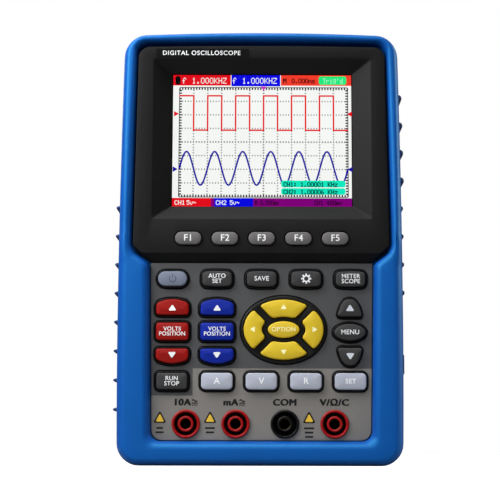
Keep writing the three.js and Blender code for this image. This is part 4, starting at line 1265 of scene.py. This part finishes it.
class Key:
    """A key: its outline, its material and the marks on its top."""

    def __init__(self, name, shape, material, slot, marks=(), ink=INK_WHITE, centre=None):
        self.node = f"key_{name}"
        box = Box(self.node)
        self.u, self.v = centre or (box.u, box.v)
        self.draw = placed(shape(box.width, box.height), self.u, self.v)
        self.half = min(box.width, box.height) / 2
        self.back, self.front = box.back, box.front
        self.material, self.slot, self.ink = material, slot, ink
        self.marks = marks
        self.in_bezel = self.node in F_KEYS
        self.in_pad = centre is not None or name == "ok"

    def collar(self, grow=0.0):
        return self.draw(COLLAR_WIDTH + grow)

    def build(self):
        levels = [(self.back, -0.15), (self.back + 0.15, 0), *over_edge(self.front, KEY_FILLET)]
        room = min(self.half, 3.2) - KEY_FILLET
        for k in (0.2, 0.4, 0.6, 0.8):
            levels.append((self.front + KEY_CROWN * (1 - (1 - k) ** 2), -KEY_FILLET - room * k))
        parts = [(tower(self.draw, levels), self.material)]
        top = self.front + KEY_CROWN + 0.02
        marks = [solid.at(self.u, self.v, top) for solid in self.marks]
        if marks:
            parts.append((all_of(marks), self.ink))
        piece(f"{self.node}_cap", parts, self.node, [self.node])


def legend(text, cap, bold=0.03):
    return lettering(text, cap, bold=bold, spacing=1.05, depth=LEGEND_DEPTH)


def legend_arrow(u, v, turn, width=3.4, height=2.5):
    r = 0.1 * width
    corners = [(-width / 2, -height / 2, r), (width / 2, -height / 2, r), (0, height / 2, r)]
    return mark(corners, 0, LEGEND_DEPTH).through(Matrix.Rotation(turn, 3, "Z")).at(u, v)


def arc_points(radius, start, end, count=16):
    turns = [start + (end - start) * k / count for k in range(count + 1)]
    return [Vector((radius * cos(a), radius * sin(a))) for a in turns]


def power_symbol():
    line = 0.34
    ring = ribbon(arc_points(1.35, radians(130), radians(410), 24), line, -LEGEND_DEPTH, 0)
    return ring + slab(-line / 2, 0.3, line / 2, 1.9, -LEGEND_DEPTH, 0)


def sun_symbol():
    """A ring with eight short rays, for the backlight."""
    parts = [ribbon(arc_points(1.15, 0, 2 * pi, 28), 0.5, -LEGEND_DEPTH, 0)]
    for k in range(8):
        ray = slab(1.3, -0.32, 2.05, 0.32, -LEGEND_DEPTH, 0)
        parts.append(ray.through(Matrix.Rotation(k * pi / 4, 3, "Z")))
    return all_of(parts)


def soft_box(radius, high=0.0, low=0.0):
    return lambda width, height: bowed(width, height, radius, high, low)


def make_keys():
    pad_centre = (pad_box.u, pad_box.v)
    found = []
    for i, name in enumerate(("f1", "f2", "f3", "f4", "f5")):
        found.append(Key(name, pill, KEY_SOFT, "key_grey", [legend(f"F{i + 1}", 2.7)]))
    found.append(Key("power", pill, KEY_POWER, "key_power", [power_symbol()], INK_SLATE))
    row = soft_box(1.5, 0.4, 0.4)
    found.append(Key("auto", row, KEY_GREY, "key_grey", [legend("AUTO\nSET", 1.75)]))
    found.append(Key("save", row, KEY_GREY, "key_grey", [legend("SAVE", 1.85)]))
    found.append(Key("backlight", row, KEY_GREY, "key_grey", [sun_symbol()]))
    found.append(Key("mode", row, KEY_GREY, "key_grey", [legend("METER\nSCOPE", 1.75)]))
    for name, material in (("ch1", KEY_RED), ("ch2", KEY_BLUE)):
        slot = "key_red" if name == "ch1" else "key_blue"
        up, down = legend_arrow(0, -0.3, 0), legend_arrow(0, 0.3, pi)
        found.append(Key(f"{name}_up", soft_box(1.2, 1.7, 0), material, slot, [up]))
        found.append(Key(f"{name}_volts", soft_box(1.3), material, slot, [legend("VOLTS\nPOSITION", 1.65)]))
        found.append(Key(f"{name}_down", soft_box(1.2, 0, 1.7), material, slot, [down]))
    arrow_u, arrow_v = 12.6, 9.2
    places = {
        "up": (0, arrow_v, 0),
        "left": (-arrow_u, 0, pi / 2),
        "down": (0, -arrow_v, pi),
        "right": (arrow_u, 0, -pi / 2),
    }
    for name, (u, v, turn) in places.items():
        shape = quarter(name)
        found.append(Key(f"arrow_{name}", lambda width, height, shape=shape: shape, KEY_YELLOW, "key_yellow",
                         [legend_arrow(u, v, turn, 2.6, 2.1)], INK_CREAM, pad_centre))
    found.append(Key("ok", oval, KEY_YELLOW, "key_yellow", [legend("OPTION", 1.8)], INK_CREAM))
    found.append(Key("menu_up", lambda w, h: dome(w, h, 1), KEY_GREY, "key_grey",
                     [legend_arrow(0, 0, 0, 3.6, 2.8)], INK_PALE))
    found.append(Key("menu", oval, KEY_GREY, "key_grey", [legend("MENU", 1.9)]))
    found.append(Key("menu_down", lambda w, h: dome(w, h, -1), KEY_GREY, "key_grey",
                     [legend_arrow(0, 0, pi, 3.6, 2.8)], INK_PALE))
    found.append(Key("run_stop", soft_box(1.3), KEY_GREY, "key_grey", [legend("RUN\nSTOP", 1.75)]))
    meter = soft_box(1.7)
    meter_keys = (("amps", "A", 2.5), ("volts", "V", 2.5), ("ohms", "R", 2.5), ("auto_range", "SET", 1.9))
    for name, text, cap in meter_keys:
        found.append(Key(name, meter, KEY_WHITE, "key_white", [legend(text, cap, bold=0.06)]))
    return found


def pad_rim():
    return placed(oval(34.8, 27.6, 72), pad_box.u, pad_box.v)


def keypad_mat():
    box = Box("keypad_mat")
    sheet = pebble(placed(bowed(box.width, box.height, 2), box.u, box.v), box.back, MAT_FRONT, 0.2, 0.2)
    root = MAT_FRONT - 0.3
    edge = 0.3
    collars = []
    for key in keys:
        if key.in_bezel or key.in_pad:
            continue
        outer = [(root, COLLAR_WIDTH), *over_edge(COLLAR_FRONT, edge, COLLAR_WIDTH, 3)]
        inner = [(COLLAR_FRONT, CLEAR + 0.2), (COLLAR_FRONT - 0.2, CLEAR), (root, CLEAR)]
        collars.append(tower(key.draw, outer + inner, around=True))
    pad = pebble(pad_rim(), root, COLLAR_FRONT, 0.5, 0.01)
    pockets = []
    for key in keys:
        if key.in_pad:
            levels = [(MAT_FRONT, CLEAR), (COLLAR_FRONT - 0.2, CLEAR), (COLLAR_FRONT + 0.3, CLEAR + 0.5)]
            pockets.append(tower(key.draw, levels))
    mat = sheet | (all_of(collars) + (pad - all_of(pockets)))
    piece("keypad_mat_moulding", [(mat, MAT_BLACK)], "case", ["keypad_mat"])


# ---- Jacks and inputs -----------------------------------------------------------------------------


def jack(name):
    box = Box(f"jack_{name}")
    front, back = box.front, box.back
    profile = outline([
        (2.75, back, 0.1),
        (5.2, back, 0.2),
        (5.2, front - 0.75, 0.05),
        (box.width / 2, front - 0.75, 0.1),
        (box.width / 2, front, 0.6),
        (4.95, front, 0.3),
        (4.4, front - 0.9, 0.15),
        (4.4, front - 9, 0.3),
        (3.15, front - 9, 0.3),
        (3.15, front - 0.1, 0.42),
        (2.15, front - 0.1, 0.4),
        (2.15, front - 1.6, 0.1),
        (2.75, front - 1.6, 0.1),
    ], 4)
    material = JACK_BLACK if name == "com" else JACK_RED
    body = lathe(profile, 72).at(box.u, box.v)
    piece(f"jack_{name}_housing", [(body, material)], "case", [f"jack_{name}"])


def contact(name):
    """A brass sleeve split by two slots, with a solder pin behind."""
    box = Box(f"contact_{name}")
    front, back = box.front, box.back
    profile = outline([
        (0, back, 0),
        (0.9, back, 0.2),
        (0.9, back + 2.5, 0.1),
        (2.45, back + 2.5, 0.2),
        (2.45, front, 0.15),
        (2.0, front, 0.15),
        (2.0, back + 4, 0.3),
        (0, back + 4, 0),
    ], 3)
    sleeve = lathe(profile, 36)
    for turn in (0, pi / 2):
        slot = slab(-0.22, -4, 0.22, 4, back + 6, front + 1)
        sleeve -= slot.through(Matrix.Rotation(turn, 3, "Z"))
    parts = [(sleeve.at(box.u, box.v), SHADED_CONTACT_BRASS)]
    piece(f"contact_{name}_sleeve", parts, "case", [f"contact_{name}"])


def bnc(name):
    """A coaxial socket: flange, barrel with two lugs, white insulator and brass pin."""
    box = Box(name)
    wall, mouth, tail = 45.3, -box.left, -box.right
    barrel = outline([
        (0, tail, 0),
        (1.2, tail, 0.2),
        (1.2, tail + 2, 0.1),
        (4.1, tail + 2, 0.3),
        (4.1, wall, 0.1),
        (6.6, wall, 0.3),
        (6.6, wall + 2.2, 0.4),
        (4.8, wall + 2.2, 0.2),
        (4.8, mouth - 1.2, 0.2),
        (4.6, mouth - 1.2, 0.2),
        (4.6, mouth, 0.3),
        (4.15, mouth, 0.2),
        (4.15, mouth - 6.5, 0.2),
        (0, mouth - 6.5, 0),
    ], 3)
    insulator = outline([
        (0.9, mouth - 6.6, 0),
        (2.3, mouth - 6.6, 0),
        (2.3, mouth - 1, 0.3),
        (0.9, mouth - 1, 0.2),
    ], 3)
    pin = outline([
        (0, mouth - 6.6, 0),
        (0.72, mouth - 6.6, 0),
        (0.72, mouth - 1.3, 0.2),
        (0.4, mouth - 1.3, 0.1),
        (0.4, mouth - 3.5, 0),
        (0, mouth - 3.5, 0),
    ], 2)
    lugs = all_of(
        lathe(outline([(0, 3.6, 0), (1, 3.6, 0), (1, 5.7, 0.25), (0, 5.7, 0)], 3), 20)
        .through(Matrix.Rotation(turn, 3, "Y")).at(0, 0, mouth - 3.4)
        for turn in (pi / 2, -pi / 2)
    )
    u, v = (box.front + box.back) / 2, box.v
    parts = [
        (lathe(barrel, 48).at(u, v), NICKEL),
        (lugs.at(u, v), NICKEL),
        (lathe(insulator, 32).at(u, v), PTFE_WHITE),
        (lathe(pin, 20).at(u, v), BRASS),
    ]
    piece(f"{name}_socket", parts, "case", [name], LEFT)


def usb_port():
    box = Box("usb_port")
    across, middle = box.front - box.back, -(box.front + box.back) / 2
    rim = placed(bowed(across, box.height, 1.6), middle, box.v)
    out, inside = box.right, box.left
    levels = [(inside, -0.2), (inside + 0.2, 0), *over_edge(out, 0.15, 0, 2), (out, -0.4), (out - 0.2, -0.5)]
    shell = tower(rim, [*levels, (inside + 1.2, -0.5)])
    tongue = pebble(placed(bowed(0.8, 6.4, 0.2), middle, box.v), inside + 1, out - 1.5, 0.15)
    piece("usb_port_shell", [(shell, NICKEL), (tongue, RUBBER_BLACK)], "case", ["usb_port"], RIGHT)


# ---- Rubber pieces --------------------------------------------------------------------------------


def port_cover():
    """A rubber flap with a hinge bead at its rear edge, a plug behind and a pull tab in front."""
    box = flap_box
    out = HALF_WIDTH - 0.25
    thick = 1.7
    front_edge, rear_edge = -box.front, -box.back
    bead_r = 0.85
    middle = (front_edge + rear_edge - bead_r) / 2
    face = placed(bowed(rear_edge - bead_r - front_edge, box.height, 1.0), middle, box.v)
    plate = pebble(face, out - thick, out, 0.4, 0.2)
    bead = rod(bead_r, 0, box.height, 0.2, 20)
    bead = bead.through(Matrix.Rotation(-pi / 2, 3, "X")).at(rear_edge - bead_r, box.foot, out - bead_r)
    usb_middle = -(usb_box.front + usb_box.back) / 2
    tongue = placed(bowed(0.55, 6.8, 0.2), usb_middle - 1.0, usb_box.v)
    plug = pebble(tongue, out - thick - 1.4, out - 0.5, 0.1)
    tab = pebble(placed(pill(1.2, 8), front_edge + 1.4, usb_box.v), out - 0.3, box.right, 0.35, 0.05)
    ridges = []
    for k in range(-2, 3):
        ridge = placed(pill(5.2, 0.7), middle + 0.6, box.v + 2.2 * k)
        ridges.append(pebble(ridge, out - 0.2, out + 0.28, 0.25, 0.05, steps=2))
    solid = plate + bead + plug + tab + all_of(ridges)
    piece("port_cover_flap", [(solid, RUBBER_BLACK)], "port_cover", ["port_cover"], RIGHT)


LARGE_RIB, SMALL_RIB, NUB = (3.1, 1.5), (2.0, 0.85), (1.5, 1.5)  # how high and how proud a rib is
RIBS = {"grip_left": [NUB] * 8, "grip_right": [LARGE_RIB] * 4 + [SMALL_RIB] * 4}
RIB_MARGIN = 3.5


def grip(node):
    """A rubber inlay with rounded ribs that stand proud of the side."""
    box = Box(node)
    ribs = RIBS[node]
    side = 1 if box.right > 0 else -1
    facing = RIGHT if side > 0 else LEFT
    to_side = facing.inverted() @ FRONT
    body = loft(front_sides(0.12)) & grip_space(node, 0)
    parts = [body.through(to_side)]
    pitch = (box.height - 2 * RIB_MARGIN) / (len(ribs) - 1)
    turns = [pi / 2 * k / 6 for k in range(7)]
    for i, (height, proud) in enumerate(ribs):
        z = box.top - RIB_MARGIN - i * pitch
        edge = HALF_WIDTH - 0.45 - (z - WIDEST_Z) ** 2 / 9000
        rib = placed(pill(15, height), side * -5.0, z)
        levels = [(edge - 1.4, 0)]
        levels += [(edge + proud * sin(a), -0.46 * height * (1 - cos(a))) for a in turns]
        parts.append(tower(rib, levels))
    piece(f"{node}_rubber", [(all_of(parts), GRIP_RUBBER)], "case", [node], facing)


# ---- Back pieces ----------------------------------------------------------------------------------


def kickstand():
    box = Box("kickstand")
    half, reach = 30.2, box.width / 2
    hinge_v, hinge_h = box.top - 1.3, (box.front + box.back) / 2
    thick = box.front - box.back

    def draw(grow):
        right = [(half + grow, box.foot - grow, 5), (half + grow, hinge_v + grow, 0.3)]
        return mirrored(right, 6, 1)

    plate = tower(draw, [(box.back, -0.7), (box.back + 0.2, -0.35), (box.back + 0.7, 0),
                         (box.front - 0.4, 0), (box.front, -0.4)])
    turn = Matrix.Rotation(pi / 2, 3, "Y")
    knuckle = rod(thick / 2, -half, half, 0.2, 32)
    pins = rod(1, -reach, reach, 0.25, 24)
    stand = plate | knuckle.through(turn).at(0, hinge_v, hinge_h)
    stand |= pins.through(turn).at(0, hinge_v, hinge_h)
    for v in (34, 40, 46):
        groove = placed(pill(44, 2), 0, v)
        stand -= tower(groove, [(box.back - 0.5, 0.5), (box.back, 0.15), (box.back + 0.5, -0.15)])
    window = placed(bowed(46, 44, 4), 0, 84)
    stand -= tower(window, [(box.back - 0.5, 0.6), (box.back, 0.2), (box.back + 0.6, -0.2)])
    piece("kickstand_leaf", [(stand, BACK_GREY)], "kickstand", ["kickstand"])


def battery_door():
    box = Box("battery_door")
    screw = Box("battery_door_screw")
    door = tower(placed(bowed(box.width, box.height, 2), box.u, box.v),
                 [(box.back, -0.3), (box.back + 0.3, 0), (box.front - 0.1, 0), (box.front, -0.1)])
    door -= prism(placed(disc(SCREW_HOLE), 0, screw.v)(), box.back - 1, box.front + 1)
    door -= prism(placed(disc(3.3), 0, screw.v)(), box.back - 1, box.back + 1.3)
    for k in range(5):
        ridge = placed(pill(24, 1.2), 0, box.top - 8 - 3 * k)
        door -= tower(ridge, [(box.back - 0.5, 0.3), (box.back, 0), (box.back + 0.5, -0.3)])
    piece("battery_door_panel", [(door, BACK_GREY)], "case", ["battery_door"])


def screw(node, cross):
    """A pan-head screw seen from the back, with a crossed or a straight slot."""
    box = Box(node)
    head_r, shaft_r = box.width / 2, 1.3
    head_thick = 2.2 if cross else 0.85
    crown = 0.5 if cross else 0.25
    profile = outline([
        (0, box.back, 0),
        (head_r * 0.55, box.back, 2.0),
        (head_r, box.back + crown, 0.2),
        (head_r, box.back + head_thick, 0.1),
        (shaft_r, box.back + head_thick, 0.1),
        (shaft_r, box.front, 0.4),
        (0, box.front, 0),
    ], 4)
    solid = lathe(profile, 36)
    turns = 7 if cross else 5
    thread = []
    for k in range(turns):
        h = box.back + head_thick + 1 + k * (box.front - box.back - head_thick - 2) / turns
        thread.append(lathe(outline([(0.9, h, 0), (1.52, h + 0.35, 0), (0.9, h + 0.7, 0)]), 24))
    reach = head_r * (0.62 if cross else 0.8)
    solid -= slab(-reach, -0.35, reach, 0.35, box.back - 1, box.back + (1.1 if cross else 0.6))
    if cross:
        solid -= slab(-0.35, -reach, 0.35, reach, box.back - 1, box.back + 1.1)
    whole = (solid + all_of(thread)).at(box.u, box.v)
    piece(f"{node}_metal", [(whole, STEEL)], "case", [node])


def keep_node(name, *materials):
    """A CAD node whose shape is right keeps it and gets a finished material."""
    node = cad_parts[name]
    node.data.materials.clear()
    for material in materials:
        node.data.materials.append(material)


# ---- Assembly -------------------------------------------------------------------------------------

keys = make_keys()
front_shell()
rear_shell()
display_bezel()
control_panel()
picture()
keypad_mat()
for key in keys:
    key.build()
for jack_name in JACKS:
    jack(jack_name)
    contact(jack_name)
for socket_name in ("bnc_ch1", "bnc_ch2"):
    bnc(socket_name)
usb_port()
port_cover()
grip("grip_left")
grip("grip_right")
kickstand()
battery_door()
screw("battery_door_screw", cross=False)
for number in range(1, 5):
    screw(f"case_screw_{number}", cross=True)
keep_node("display_window", WINDOW_CLEAR)
keep_node("lcd_module", LCD_GLASS)
keep_node("key_board", BOARD)
keep_node("main_board", BOARD)
keep_node("battery_pack", WRAP)


# ---- Stage, light and camera ----------------------------------------------------------------------


def make_floor():
    size = 6.0
    mesh = bpy.data.meshes.new("floor")
    corners = [(-size, -size, 0), (size, -size, 0), (size, size, 0), (-size, size, 0)]
    mesh.from_pydata(corners, [], [(0, 1, 2, 3)])
    r = Recipe("floor_pale")
    r.set("Base Color", (0.25, 0.25, 0.25, 1))
    r.set("Roughness", 0.8)
    r.set("Specular IOR Level", 0.1)
    r.set("Emission Color", (1, 1, 1, 1))
    path = r.node("ShaderNodeLightPath")
    glow = r.spread(path.outputs["Is Camera Ray"], 0.03, 0.97, (0, 1))
    r.set("Emission Strength", glow)
    mesh.materials.append(r.material)
    floor = bpy.data.objects.new("floor", mesh)
    bpy.context.scene.collection.objects.link(floor)


def soft_light(name, place, target, size, power):
    light = bpy.data.lights.new(name, "AREA")
    light.shape = "RECTANGLE"
    light.size, light.size_y = size
    light.energy = power
    thing = bpy.data.objects.new(name, light)
    thing.location = place
    thing.rotation_euler = (Vector(target) - Vector(place)).to_track_quat("-Z", "Y").to_euler()
    bpy.context.scene.collection.objects.link(thing)


def make_world():
    """Pale surroundings: white to the eye, and dimmer as a light."""
    world = bpy.data.worlds.new("studio")
    world.use_nodes = True
    bpy.context.scene.world = world
    nodes, links = world.node_tree.nodes, world.node_tree.links
    background = nodes["Background"]
    path = nodes.new("ShaderNodeLightPath")
    level = nodes.new("ShaderNodeMapRange")
    level.inputs["To Min"].default_value = 0.07
    level.inputs["To Max"].default_value = 1.0
    links.new(path.outputs["Is Camera Ray"], level.inputs["Value"])
    links.new(level.outputs["Result"], background.inputs["Strength"])
    background.inputs["Color"].default_value = (1, 1, 1, 1)


def make_camera():
    camera = bpy.data.cameras.new("camera")
    camera.sensor_width = 36
    camera.lens = 100.99
    camera.shift_x = -0.02
    camera.shift_y = -0.0092
    thing = bpy.data.objects.new("camera", camera)
    thing.location = (0, -0.57992, 0.00627)
    thing.rotation_euler = (radians(90 + 8.3), radians(-0.14), 0)
    bpy.context.scene.collection.objects.link(thing)
    bpy.context.scene.camera = thing


make_floor()
make_world()
middle = (0, 0, 0.09)
soft_light("front", (-0.3, -1.1, 0.7), middle, (0.8, 0.6), 4.5)
soft_light("top", (-0.1, -0.16, 0.65), middle, (0.6, 0.35), 4.2)
soft_light("near", (-0.25, -0.18, 0.27), middle, (0.16, 0.16), 1.15)
soft_light("rear", (-0.3, 0.9, 0.6), middle, (0.7, 0.6), 4)
soft_light("side", (0.8, 0.15, 0.4), middle, (0.5, 0.5), 4)
make_camera()
bpy.context.scene.view_settings.view_transform = "Standard"
